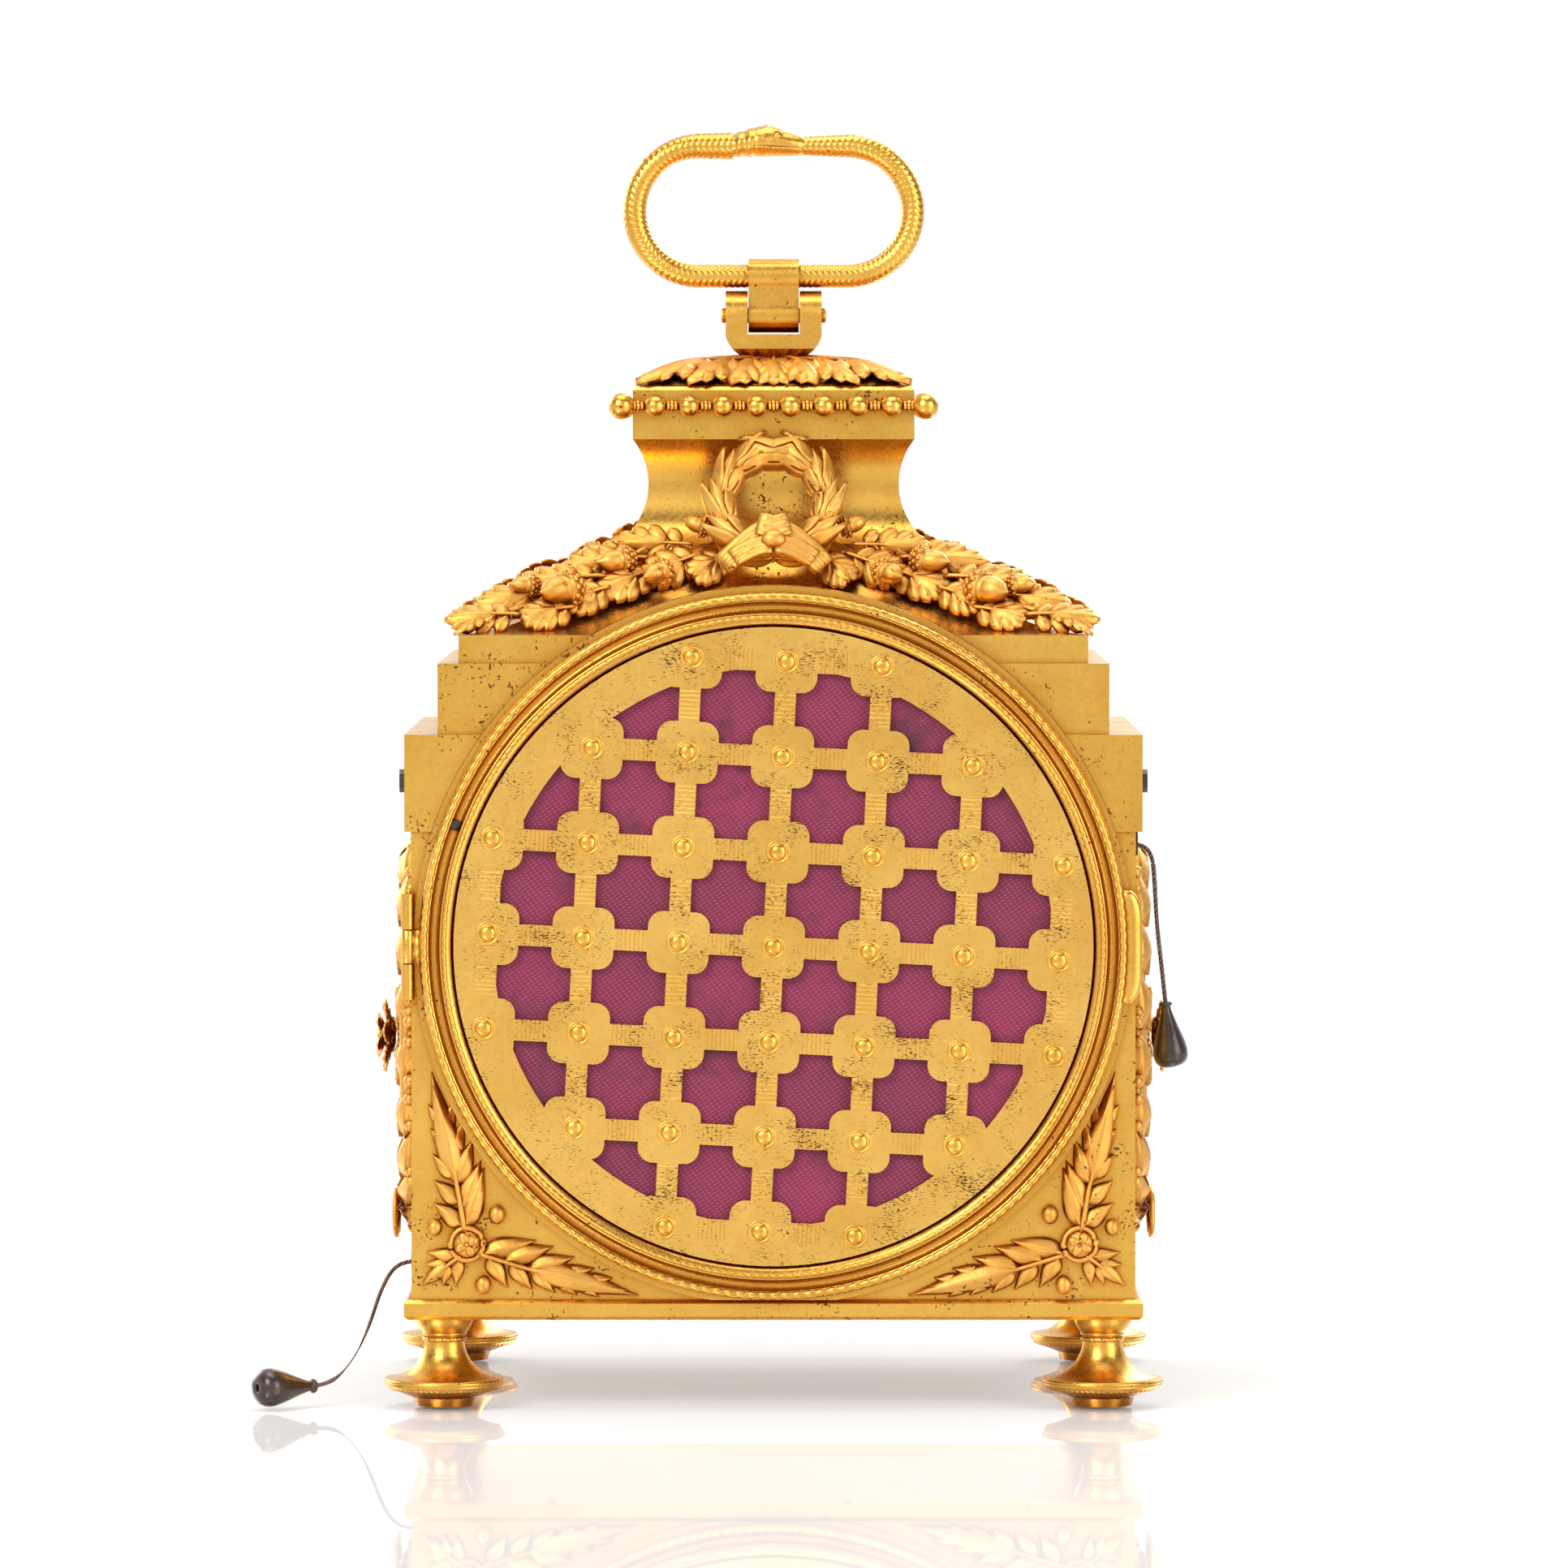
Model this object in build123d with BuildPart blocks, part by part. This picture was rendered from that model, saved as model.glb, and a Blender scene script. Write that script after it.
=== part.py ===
"""An officer's travelling carriage clock: gilt case, snake handle, pierced rear door, pull cords.

Millimetres. +Z is up, the dial faces -Y and the pierced rear door faces +Y. The origin is on the
surface that the clock stands on, under the middle of the case.
"""

from build123d import *
import os
from math import atan2, cos, pi, radians, sin, tan

os.makedirs("parts", exist_ok=True)

# ---------------------------------------------------------------- driving dimensions
FACE_R = 61.3  # round face ring, outside
FACE_LAND = 0.4  # wall left outside the face ring on each side
CASE_D = 92.0  # walls, front to back
WALL = 2.2  # wall thickness
WALL_H = 79.9  # walls, bottom to top
SEAT = 0.05  # gap between pieces that sit on each other
RUN = 0.06  # radial clearance of a running fit

FOOT_H = 15.1
FOOT_TOP_R = 5.0
FOOT_NECK_R = 3.4
FOOT_DISC_R = 10.15
FOOT_DISC_Z = 4.2
FOOT_INSET = 6.7  # foot centre, in from the base plate's edge

BASE_H = 3.2
BASE_OVER = 1.3  # base plate beyond the walls

STEP_H = (16.5, 12.1, 4.8)  # cornice steps, bottom to top
STEP_OUT = (1.1, -4.55, -8.1)  # each step's side beyond the wall
STEP_FACE = (0.8, -0.2, -1.2)  # each step's face beyond the wall
CORNICE_WALL = 5.0

ROOF_SLOPE_H = 15.2
ROOF_SLOPE_IN = 26.6
NECK_H = 18.0
NECK_HALF = 21.7
BLOCK_HALF = 24.35
BLOCK_H = 9.3
BEAD_R = 1.5
BEADS_WIDE = 8
LEAF_H = 5.4
LEAF_OVER = -0.6
LEAF_DOWN = 1.0  # the leaf crown's flat seat below its tips

RING_WALL = 6.5  # face ring, outside to inside
RING_PROUD = 1.4  # face ring beyond the wall
BARREL_IN = 8.0  # how far the ring's barrel reaches into the case
ARCH_IN = 12.0
BARREL_STEP = 2.8  # barrel's radius less than the ring's

DOOR_IN = 1.1  # door edge inside the face ring's edge
DOOR_T = 3.0
DOOR_GAP = 0.1
GLASS_R = 54.4
GRILLE_T = 1.2
PIERCED_R = 47.6
LATTICE = 16.2  # lattice pitch
LATTICE_TURN = 2.75
BAR_W = 3.6
PAD_W = 10.5
STUD_R = 1.35
TAB_HALF = 9.6
HINGE_R = 1.1
HINGE_PIN_R = 0.5
HINGE_OUT = 0.5  # hinge axis beyond the wall
HINGE_HALF = 9.0

FORK_SLOT = 9.1
FORK_ARM = 3.8
FORK_R = 4.3
FORK_PIN_Z = 7.8  # pin above the fork's foot
FORK_FOOT = 3.0  # half the bowl's foot
FORK_BOWL = 0.26  # how far the bowl's side falls inside the straight line from ear to foot, as a share
FORK_WEB = 3.3  # slot's floor below the pin
PIN_R = 1.3
PIN_L = 18.3
BOW_R = 2.05
BOW_HALF = 24.25  # bow's centre line, half its width
BOW_ARM = 6.85  # lower bar above the pin
BOW_RISE = 22.65  # upper bar above the lower one
COLLAR_W = 8.75
COLLAR_R = 3.0
HEAD_R = 3.6
HEAD_HALF = 6.6  # half the snake's head, along the bar
HEAD_UP = 0.7  # head's axis above the bar's

PLATE_R = 46.0
PLATE_T = 2.0
PLATE_GAP = 40.0
PLATE_BEHIND = 8.0  # front plate's inner face behind the dial's front
DIAL_R = 50.0
DIAL_T = 1.0
DIAL_IN = 4.0  # dial's front behind the walls' front
PILLAR_R = 2.0
PILLAR_AT = 41.0
ARBOR_R = 0.8
PIVOT_R = 0.5
WHEEL_T = 1.0
PINION_T = 3.0

TUBE_D = 0.7  # pull cords
PEAR_R = 3.05
PEAR_L = 11.4
BUSH_R = 2.1
BUSH_PROUD = 0.9

# ---------------------------------------------------------------- levels worked out from them
CASE_W = 2 * (FACE_R + FACE_LAND)
HALF_W = CASE_W / 2
HALF_D = CASE_D / 2
BASE_Z = FOOT_H + 0.2
BASE_TOP = BASE_Z + BASE_H
FACE_Z = BASE_TOP + FACE_R - 0.9
CORNICE_Z = BASE_TOP + WALL_H
ROOF_Z = CORNICE_Z + sum(STEP_H)
NECK_Z = ROOF_Z + ROOF_SLOPE_H
BLOCK_Z = NECK_Z + NECK_H
LEAF_Z = BLOCK_Z + BLOCK_H
FORK_Z = LEAF_Z + LEAF_H - LEAF_DOWN
PIN_Z = FORK_Z + FORK_PIN_Z
BAR_Z = PIN_Z + BOW_ARM
RING_IN = FACE_R - RING_WALL
RING_FACE = HALF_D + RING_PROUD
DOOR_R = FACE_R - DOOR_IN
DOOR_BACK = RING_FACE + DOOR_GAP
HINGE_X = HALF_W + HINGE_OUT
HINGE_Y = DOOR_BACK + HINGE_R
DIAL_Y = DIAL_IN - HALF_D
FRONT_PLATE_Y = DIAL_Y + PLATE_BEHIND
BACK_PLATE_Y = FRONT_PLATE_Y + PLATE_GAP


def save(part, label):
    """Names a finished piece and writes it."""
    part.label = label
    export_step(part, f"parts/{label}.step")


def facing(y, x=0.0, z=FACE_Z):
    """A plane at y that faces -Y, with its own x along X and its own y along Z."""
    return Plane(origin=(x, y, z), x_dir=(1, 0, 0), z_dir=(0, -1, 0))


# ---------------------------------------------------------------- base and feet
foot_x = HALF_W + BASE_OVER - FOOT_INSET
foot_y = HALF_D + BASE_OVER - FOOT_INSET
for foot_name, sx, sy in (("front_left", -1, -1), ("front_right", 1, -1),
                          ("rear_left", -1, 1), ("rear_right", 1, 1)):
    with BuildPart() as foot:
        with BuildSketch(Plane.XZ.offset(-sy * foot_y)) as foot_profile:
            with BuildLine() as foot_line:
                at = sx * foot_x
                Line((at, FOOT_H), (at + FOOT_TOP_R, FOOT_H))
                ThreePointArc((at + FOOT_TOP_R, FOOT_H), (at + 0.9 * FOOT_TOP_R, FOOT_H - 1.6),
                              (at + FOOT_NECK_R, FOOT_H - 3.0))
                Line((at + FOOT_NECK_R, FOOT_H - 3.0), (at + FOOT_NECK_R, FOOT_H - 4.2))
                ThreePointArc((at + FOOT_NECK_R, FOOT_H - 4.2),
                              (at + 0.5 * FOOT_DISC_R + 0.3, FOOT_DISC_Z + 2.4),
                              (at + FOOT_DISC_R, FOOT_DISC_Z + 0.5))
                Polyline((at + FOOT_DISC_R, FOOT_DISC_Z + 0.5), (at + FOOT_DISC_R, FOOT_DISC_Z - 0.6),
                         (at + FOOT_DISC_R - 0.6, FOOT_DISC_Z - 1.2), (at + 5.4, 1.4), (at + 5.0, 0.0),
                         (at, 0.0), (at, FOOT_H))
            make_face()
        revolve(axis=Axis((sx * foot_x, sy * foot_y, 0), (0, 0, 1)))
    save(foot.part, f"foot_{foot_name}")

with BuildPart() as base_plate:
    with BuildSketch(Plane.XY.offset(FOOT_H)):
        Rectangle(CASE_W + 2 * BASE_OVER, CASE_D + 2 * BASE_OVER)
    extrude(amount=BASE_TOP - FOOT_H)
    chamfer(base_plate.faces().sort_by(Axis.Z)[-1].edges(), 0.6)
    chamfer(base_plate.faces().sort_by(Axis.Z)[0].edges(), 0.6)
save(base_plate.part, "base_plate")

# ---------------------------------------------------------------- walls, cornice, roof
CORD_HIGH = (-HALF_W, 27.0, CORNICE_Z - 2.9)  # repeat cord's hole in the left wall
CORD_LOW = (HALF_W, 20.0, BASE_TOP + 4.4)  # alarm cord's hole in the right wall
BUTTON_Y = HALF_D - 9.0
BUTTON_Z = CORNICE_Z + 8.3
BUTTON_R = 2.0

with BuildPart() as walls:
    with BuildSketch(Plane.XY.offset(BASE_TOP)):
        Rectangle(CASE_W, CASE_D)
        Rectangle(CASE_W - 2 * WALL, CASE_D - 2 * WALL, mode=Mode.SUBTRACT)
    extrude(amount=WALL_H)
    with BuildSketch(facing(HALF_D + 1)):
        Circle(FACE_R - BARREL_STEP + SEAT)
    extrude(amount=CASE_D + 2, mode=Mode.SUBTRACT)
    for hole in (CORD_HIGH, CORD_LOW):
        with BuildSketch(Plane.YZ.offset(hole[0] - 5)):
            with Locations((hole[1], hole[2])):
                Circle(BUSH_R - 0.6)
        extrude(amount=10, mode=Mode.SUBTRACT)
save(walls.part, "case_walls")

with BuildPart() as cornice:
    level = CORNICE_Z
    for height, out, face in zip(STEP_H, STEP_OUT, STEP_FACE):
        with BuildSketch(Plane.XY.offset(level)):
            Rectangle(CASE_W + 2 * out, CASE_D + 2 * face)
        extrude(amount=height)
        level += height
    with BuildSketch(Plane.XY.offset(CORNICE_Z)):
        Rectangle(CASE_W + 2 * STEP_OUT[2] - 2 * CORNICE_WALL, CASE_D + 2 * STEP_FACE[2] - 2 * CORNICE_WALL)
    extrude(amount=sum(STEP_H), mode=Mode.SUBTRACT)
    for side in (1, -1):
        with BuildSketch(facing(side * (HALF_D - ARCH_IN))):
            Circle(FACE_R + SEAT)
        extrude(amount=-side * (ARCH_IN + 5), mode=Mode.SUBTRACT)
        with BuildSketch(Plane.YZ.offset(side * (HALF_W + STEP_OUT[0] + 1))):
            with Locations((BUTTON_Y, BUTTON_Z)):
                Circle(BUTTON_R - 0.5)
        extrude(amount=-side * 4.0, mode=Mode.SUBTRACT)


def roof_outline(half, inset):
    """The roof's outline: the concave slope, then the waisted neck up to the block."""
    foot_half = half - inset
    drop = inset * 0.8
    shrink = half - ROOF_HALF
    with BuildSketch() as outline:
        with BuildLine():
            slope = ThreePointArc((foot_half, ROOF_Z), (foot_half - 0.58 * ROOF_SLOPE_IN,
                                  ROOF_Z + 0.30 * ROOF_SLOPE_H), (foot_half - ROOF_SLOPE_IN, NECK_Z - drop))
            waist = ThreePointArc(slope @ 1, (NECK_HALF - inset + shrink, NECK_Z + 0.6 * NECK_H - drop),
                                  (BLOCK_HALF - inset + shrink, BLOCK_Z - drop))
            Polyline(waist @ 1, (0, BLOCK_Z - drop), (0, ROOF_Z), (foot_half, ROOF_Z))
        make_face()
        mirror(about=Plane.YZ)
    return outline.sketch_local


ROOF_HALF = HALF_W + STEP_OUT[2]
ROOF_DEEP = HALF_D + STEP_FACE[2]
ROOF_WALL = 3.0
with BuildPart() as roof:
    with BuildSketch(Plane.XZ.offset(-ROOF_DEEP)):
        add(roof_outline(ROOF_HALF, 0))
    extrude(amount=2 * ROOF_DEEP)
    with BuildSketch(Plane(origin=(-HALF_W, 0, 0), x_dir=(0, 1, 0), z_dir=(1, 0, 0))):
        add(roof_outline(ROOF_DEEP, 0))
    extrude(amount=2 * HALF_W, mode=Mode.INTERSECT)
with BuildPart() as roof_core:
    with BuildSketch(Plane.XZ.offset(-ROOF_DEEP)):
        add(roof_outline(ROOF_HALF, ROOF_WALL))
    extrude(amount=2 * ROOF_DEEP)
    with BuildSketch(Plane(origin=(-HALF_W, 0, 0), x_dir=(0, 1, 0), z_dir=(1, 0, 0))):
        add(roof_outline(ROOF_DEEP, ROOF_WALL))
    extrude(amount=2 * HALF_W, mode=Mode.INTERSECT)
with BuildPart() as case_top:
    add(roof.part)
    add(roof_core.part, mode=Mode.SUBTRACT)
    for side in (1, -1):
        with BuildSketch(facing(side * (HALF_D - ARCH_IN))):
            Circle(FACE_R + SEAT)
        extrude(amount=-side * (ARCH_IN + 5), mode=Mode.SUBTRACT)
    add(cornice.part)
save(case_top.part, "case_top")

BLOCK_DEEP = BLOCK_HALF - ROOF_HALF + ROOF_DEEP
with BuildPart() as top_block:
    with BuildSketch(Plane.XY.offset(BLOCK_Z)):
        Rectangle(2 * BLOCK_HALF, 2 * BLOCK_DEEP)
    extrude(amount=BLOCK_H)
    chamfer(top_block.faces().sort_by(Axis.Z)[-1].edges(), 0.8)
save(top_block.part, "top_block")

BEAD_Z = BLOCK_Z + 5.7
STRIP_T = 0.45  # strip that the beads stand on
BEAD_SINK = 0.02
bead_pitch_x = 2 * BLOCK_HALF / BEADS_WIDE
beads_deep = round(2 * BLOCK_DEEP / bead_pitch_x)
bead_pitch_y = 2 * BLOCK_DEEP / beads_deep
with BuildPart() as bead_moulding:
    with BuildSketch(Plane.XY.offset(BEAD_Z - 0.9)):
        Rectangle(2 * (BLOCK_HALF + STRIP_T), 2 * (BLOCK_DEEP + STRIP_T))
        Rectangle(2 * (BLOCK_HALF + BEAD_SINK), 2 * (BLOCK_DEEP + BEAD_SINK), mode=Mode.SUBTRACT)
    extrude(amount=1.8)
    bead_out = STRIP_T + BEAD_SINK + BEAD_R
    with Locations(*[((i - (BEADS_WIDE - 1) / 2) * bead_pitch_x, side * (BLOCK_DEEP + bead_out), BEAD_Z)
                     for i in range(BEADS_WIDE) for side in (1, -1)]):
        Sphere(BEAD_R)
    with Locations(*[(side * (BLOCK_HALF + bead_out), (i - (beads_deep - 1) / 2) * bead_pitch_y, BEAD_Z)
                     for i in range(beads_deep) for side in (1, -1)]):
        Sphere(BEAD_R)
    corner_out = STRIP_T + 0.75 * BEAD_R
    with Locations(*[(sx * (BLOCK_HALF + corner_out), sy * (BLOCK_DEEP + corner_out), BEAD_Z)
                     for sx in (1, -1) for sy in (1, -1)]):
        Sphere(BEAD_R)
save(bead_moulding.part, "bead_moulding")

LEAF_HALF = BLOCK_HALF + LEAF_OVER
LEAF_DEEP = BLOCK_DEEP + LEAF_OVER
with BuildPart() as acanthus_mount:
    with BuildSketch(Plane.XY.offset(LEAF_Z)):
        RectangleRounded(2 * LEAF_HALF, 2 * LEAF_DEEP, 3.0)
    with BuildSketch(Plane.XY.offset(FORK_Z)):
        RectangleRounded(2 * FORK_R + 12.0, 2 * FORK_R + 3.0, 3.0)
    loft()
save(acanthus_mount.part, "acanthus_mount")

# ---------------------------------------------------------------- handle
FORK_HALF = FORK_SLOT / 2 + FORK_ARM
with BuildPart() as handle_fork:
    with BuildSketch(Plane.YZ.offset(-FORK_HALF)):
        with BuildLine():
            Polyline((-FORK_R, PIN_Z), (-FORK_R, FORK_Z + 2.0), (-FORK_R + 1.5, FORK_Z),
                     (FORK_R - 1.5, FORK_Z), (FORK_R, FORK_Z + 2.0), (FORK_R, PIN_Z))
            ThreePointArc((FORK_R, PIN_Z), (0, PIN_Z + FORK_R), (-FORK_R, PIN_Z))
        make_face()
    extrude(amount=2 * FORK_HALF)
    with BuildSketch(facing(FORK_R, 0, PIN_Z)):
        with BuildLine():
            ear = Line((FORK_HALF, FORK_R), (FORK_HALF, -0.6))
            bowl_at = 0.5 * (FORK_HALF + FORK_FOOT) + FORK_BOWL * FORK_HALF
            bowl = ThreePointArc(ear @ 1, (bowl_at, -0.62 * FORK_PIN_Z), (FORK_FOOT, -FORK_PIN_Z))
            Polyline(bowl @ 1, (0, -FORK_PIN_Z), (0, FORK_R), ear @ 0)
        make_face()
        mirror(about=Plane.YZ)
    extrude(amount=2 * FORK_R, mode=Mode.INTERSECT)
    with Locations((0, 0, PIN_Z + FORK_R)):
        Box(FORK_SLOT, 4 * FORK_R, 2 * (FORK_R + FORK_WEB), mode=Mode.SUBTRACT)
    with BuildSketch(Plane.YZ.offset(-FORK_HALF - 1)):
        with Locations((0, PIN_Z)):
            Circle(PIN_R + 0.02)
    extrude(amount=2 * FORK_HALF + 2, mode=Mode.SUBTRACT)
save(handle_fork.part, "handle_fork")

with BuildPart() as handle_pin:
    with BuildSketch(Plane.YZ.offset(-PIN_L / 2)):
        with Locations((0, PIN_Z)):
            Circle(PIN_R)
    extrude(amount=PIN_L)
    fillet(handle_pin.edges().filter_by(GeomType.CIRCLE), 0.35)
save(handle_pin.part, "handle_pin")

BOW_END = BOW_HALF - BOW_RISE / 2
with BuildPart() as handle_bow:
    with BuildLine(Plane.XZ) as bow_line:
        Line((-BOW_END, BAR_Z), (BOW_END, BAR_Z))
        ThreePointArc((BOW_END, BAR_Z), (BOW_HALF, BAR_Z + BOW_RISE / 2), (BOW_END, BAR_Z + BOW_RISE))
        Line((BOW_END, BAR_Z + BOW_RISE), (-BOW_END, BAR_Z + BOW_RISE))
        ThreePointArc((-BOW_END, BAR_Z + BOW_RISE), (-BOW_HALF, BAR_Z + BOW_RISE / 2), (-BOW_END, BAR_Z))
    with BuildSketch(Plane(origin=(-BOW_END, 0, BAR_Z), x_dir=(0, 1, 0), z_dir=(1, 0, 0))):
        Circle(BOW_R)
    sweep(path=bow_line.line)
    with BuildSketch(facing(0, -2.0, BAR_Z + BOW_RISE + HEAD_UP)):
        Ellipse(HEAD_HALF, HEAD_R - 0.5)
        with Locations((0, HEAD_R)):
            Rectangle(2 * HEAD_HALF + 1, 2 * HEAD_R, mode=Mode.INTERSECT)
    revolve(axis=Axis((0, 0, BAR_Z + BOW_RISE + HEAD_UP), (1, 0, 0)))
save(handle_bow.part, "handle_bow")

with BuildPart() as handle_collar:
    with BuildSketch(Plane.YZ.offset(-COLLAR_W / 2)):
        with Locations((0, BAR_Z)):
            Circle(COLLAR_R)
        with Locations((0, PIN_Z)):
            Circle(COLLAR_R)
        with Locations((0, PIN_Z + BOW_ARM / 2)):
            Rectangle(2 * COLLAR_R - 1.0, BOW_ARM)
        with Locations((0, BAR_Z)):
            Circle(BOW_R + 0.02, mode=Mode.SUBTRACT)
        with Locations((0, PIN_Z)):
            Circle(PIN_R + RUN, mode=Mode.SUBTRACT)
    extrude(amount=COLLAR_W)
save(handle_collar.part, "handle_collar")

# ---------------------------------------------------------------- face rings, doors and hinges
HINGE_LEAF_IN = 6.0
hinge_leaves = []


def at_rear(side):
    """Turns a rear piece to the front when side is -1: half a turn about the clock's own axis."""
    return Rotation(0, 0, 0 if side > 0 else 180)


for place, side in (("rear", 1), ("front", -1)):
    with BuildPart() as ring:
        with BuildSketch(facing(RING_FACE)):
            Circle(FACE_R)
            Circle(RING_IN, mode=Mode.SUBTRACT)
        extrude(amount=RING_PROUD - SEAT)
        with BuildSketch(facing(RING_FACE)):
            Circle(FACE_R - BARREL_STEP)
            Circle(RING_IN, mode=Mode.SUBTRACT)
        extrude(amount=RING_PROUD + BARREL_IN)
        with BuildSketch(facing(RING_FACE)):
            Circle(FACE_R)
            Circle(RING_IN, mode=Mode.SUBTRACT)
            with Locations((0, CORNICE_Z + SEAT - FACE_Z - FACE_R)):
                Rectangle(4 * FACE_R, 2 * FACE_R, mode=Mode.SUBTRACT)
        extrude(amount=RING_PROUD + ARCH_IN - SEAT)
        with Locations((0, 0, BASE_TOP - 5 + SEAT)):
            Box(60, 4 * CASE_D, 10, mode=Mode.SUBTRACT)
    save(at_rear(side) * ring.part, f"{place}_face_ring")

    with BuildPart() as bezel:
        with BuildSketch(Plane.YZ):
            with BuildLine():
                y0 = DOOR_BACK
                y1 = DOOR_BACK + DOOR_T
                Polyline((y0, FACE_Z + GLASS_R + 0.1), (y0, FACE_Z + DOOR_R), (y1 - 0.9, FACE_Z + DOOR_R),
                         (y1, FACE_Z + DOOR_R - 0.6), (y1 - 0.5, FACE_Z + DOOR_R - 1.2))
                ThreePointArc((y1 - 0.5, FACE_Z + DOOR_R - 1.2), (y1 - 1.3, FACE_Z + DOOR_R - 2.3),
                              (y1 - 0.9, FACE_Z + DOOR_R - 3.2))
                Polyline((y1 - 0.9, FACE_Z + DOOR_R - 3.2), (y1 - 0.4, FACE_Z + DOOR_R - 3.8),
                         (y1 - 0.9, FACE_Z + DOOR_R - 4.4), (y1 - 0.9, FACE_Z + GLASS_R + 0.1),
                         (y0, FACE_Z + GLASS_R + 0.1))
            make_face()
        revolve(axis=Axis((0, 0, FACE_Z), (0, 1, 0)))
        with BuildSketch(facing(DOOR_BACK)):
            with Locations((-DOOR_R - 0.1, 0)):
                RectangleRounded(5.0, 2 * TAB_HALF, 2.0)
            Circle(DOOR_R - 1.0, mode=Mode.SUBTRACT)
        extrude(amount=-2.0)
        with BuildSketch(Plane.XY.offset(FACE_Z - HINGE_HALF / 3 + RUN)):
            with Locations((HINGE_X, HINGE_Y)):
                Circle(HINGE_R)
            with Locations((HINGE_X - 1.6, HINGE_Y)):
                Rectangle(3.2, 2 * HINGE_R - 0.2)
        extrude(amount=2 * HINGE_HALF / 3 - 2 * RUN)
        with BuildSketch(Plane.XY.offset(FACE_Z - HINGE_HALF)):
            with Locations((HINGE_X, HINGE_Y)):
                Circle(HINGE_PIN_R + RUN)
        extrude(amount=2 * HINGE_HALF, mode=Mode.SUBTRACT)
    save(at_rear(side) * bezel.part, f"{place}_door_bezel")

    with BuildPart() as hinge:
        for start in (FACE_Z - HINGE_HALF, FACE_Z + HINGE_HALF / 3):
            with BuildSketch(Plane.XY.offset(start)):
                with Locations((HINGE_X, HINGE_Y)):
                    Circle(HINGE_R)
                with Locations((HALF_W + SEAT + HINGE_R / 2, (HINGE_Y + HALF_D - HINGE_LEAF_IN) / 2)):
                    Rectangle(HINGE_R, HINGE_Y - HALF_D + HINGE_LEAF_IN)
            extrude(amount=2 * HINGE_HALF / 3)
        with BuildSketch(Plane.XY.offset(FACE_Z - HINGE_HALF)):
            with Locations((HALF_W + SEAT + HINGE_R / 2, HALF_D - HINGE_LEAF_IN / 2 - 0.5)):
                Rectangle(HINGE_R, HINGE_LEAF_IN - 1.0)
        extrude(amount=2 * HINGE_HALF)
        with BuildSketch(Plane.XY.offset(FACE_Z - HINGE_HALF)):
            with Locations((HINGE_X, HINGE_Y)):
                Circle(HINGE_PIN_R + 0.01)
        extrude(amount=2 * HINGE_HALF, mode=Mode.SUBTRACT)
    hinge_leaves.append(at_rear(side) * hinge.part)

with BuildPart() as door_hinges:
    add(hinge_leaves)
save(door_hinges.part, "door_hinges")

with BuildPart() as hinge_pins:
    with BuildSketch(Plane.XY.offset(FACE_Z - HINGE_HALF - 0.6)):
        with Locations((HINGE_X, HINGE_Y), (-HINGE_X, -HINGE_Y)):
            Circle(HINGE_PIN_R)
    extrude(amount=2 * HINGE_HALF + 1.2)
save(hinge_pins.part, "hinge_pins")

GRILLE_Y = DOOR_BACK + 2.0
lattice_reach = [(i, j) for i in range(-3, 4) for j in range(-3, 4) if i * i + j * j <= 10]
with BuildPart() as grille:
    with BuildSketch(facing(GRILLE_Y)):
        Circle(GLASS_R)
        Circle(PIERCED_R, mode=Mode.SUBTRACT)
        with Locations(Location((0, 0), LATTICE_TURN)):
            with GridLocations(LATTICE, 1, 7, 1):
                Rectangle(BAR_W, 2 * GLASS_R)
            with GridLocations(1, LATTICE, 1, 7):
                Rectangle(2 * GLASS_R, BAR_W)
            with Locations(*[(i * LATTICE, j * LATTICE) for i, j in lattice_reach]):
                RectangleRounded(PAD_W, PAD_W, 2.6)
        Circle(GLASS_R, mode=Mode.INTERSECT)
    extrude(amount=GRILLE_T)
save(grille.part, "grille")

with BuildPart() as grille_studs:
    with BuildSketch(facing(GRILLE_Y + SEAT)):
        with Locations(Location((0, 0), LATTICE_TURN)):
            with Locations(*[(i * LATTICE, j * LATTICE) for i, j in lattice_reach]):
                Circle(STUD_R)
    extrude(amount=-0.6)
    chamfer(grille_studs.edges().group_by(Axis.Y)[-1], 0.35)
save(grille_studs.part, "grille_studs")

with BuildPart() as silk_panel:
    with BuildSketch(facing(GRILLE_Y - GRILLE_T - 0.1)):
        Circle(GLASS_R - 0.3)
    extrude(amount=0.3)
save(silk_panel.part, "silk_panel")

GLASS_T = 1.2
GLASS_RISE = 1.6
GLASS_EDGE = DOOR_BACK + 0.2  # the glass's inner edge, in front of the case's middle


def dome(rim, radius, rise, level):
    """A round arc from a dome's rim, which stands at radius, to its middle, which is rise further out."""
    sphere = (radius**2 + rise**2) / (2 * abs(rise))
    half = atan2(radius, sphere - abs(rise)) / 2
    drop = sphere * (1 - cos(half))
    middle = (rim + rise - (drop if rise > 0 else -drop), level + sphere * sin(half))
    return ThreePointArc((rim, level + radius), middle, (rim + rise, level))


with BuildPart() as front_glass:
    with BuildSketch(Plane.YZ):
        with BuildLine():
            inner = dome(-GLASS_EDGE, GLASS_R, -GLASS_RISE, FACE_Z)
            outer = dome(-GLASS_EDGE - GLASS_T, GLASS_R, -GLASS_RISE, FACE_Z)
            Line(inner @ 1, outer @ 1)
            Line(inner @ 0, outer @ 0)
        make_face()
    revolve(axis=Axis((0, 0, FACE_Z), (0, 1, 0)))
save(front_glass.part, "front_glass")

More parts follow.
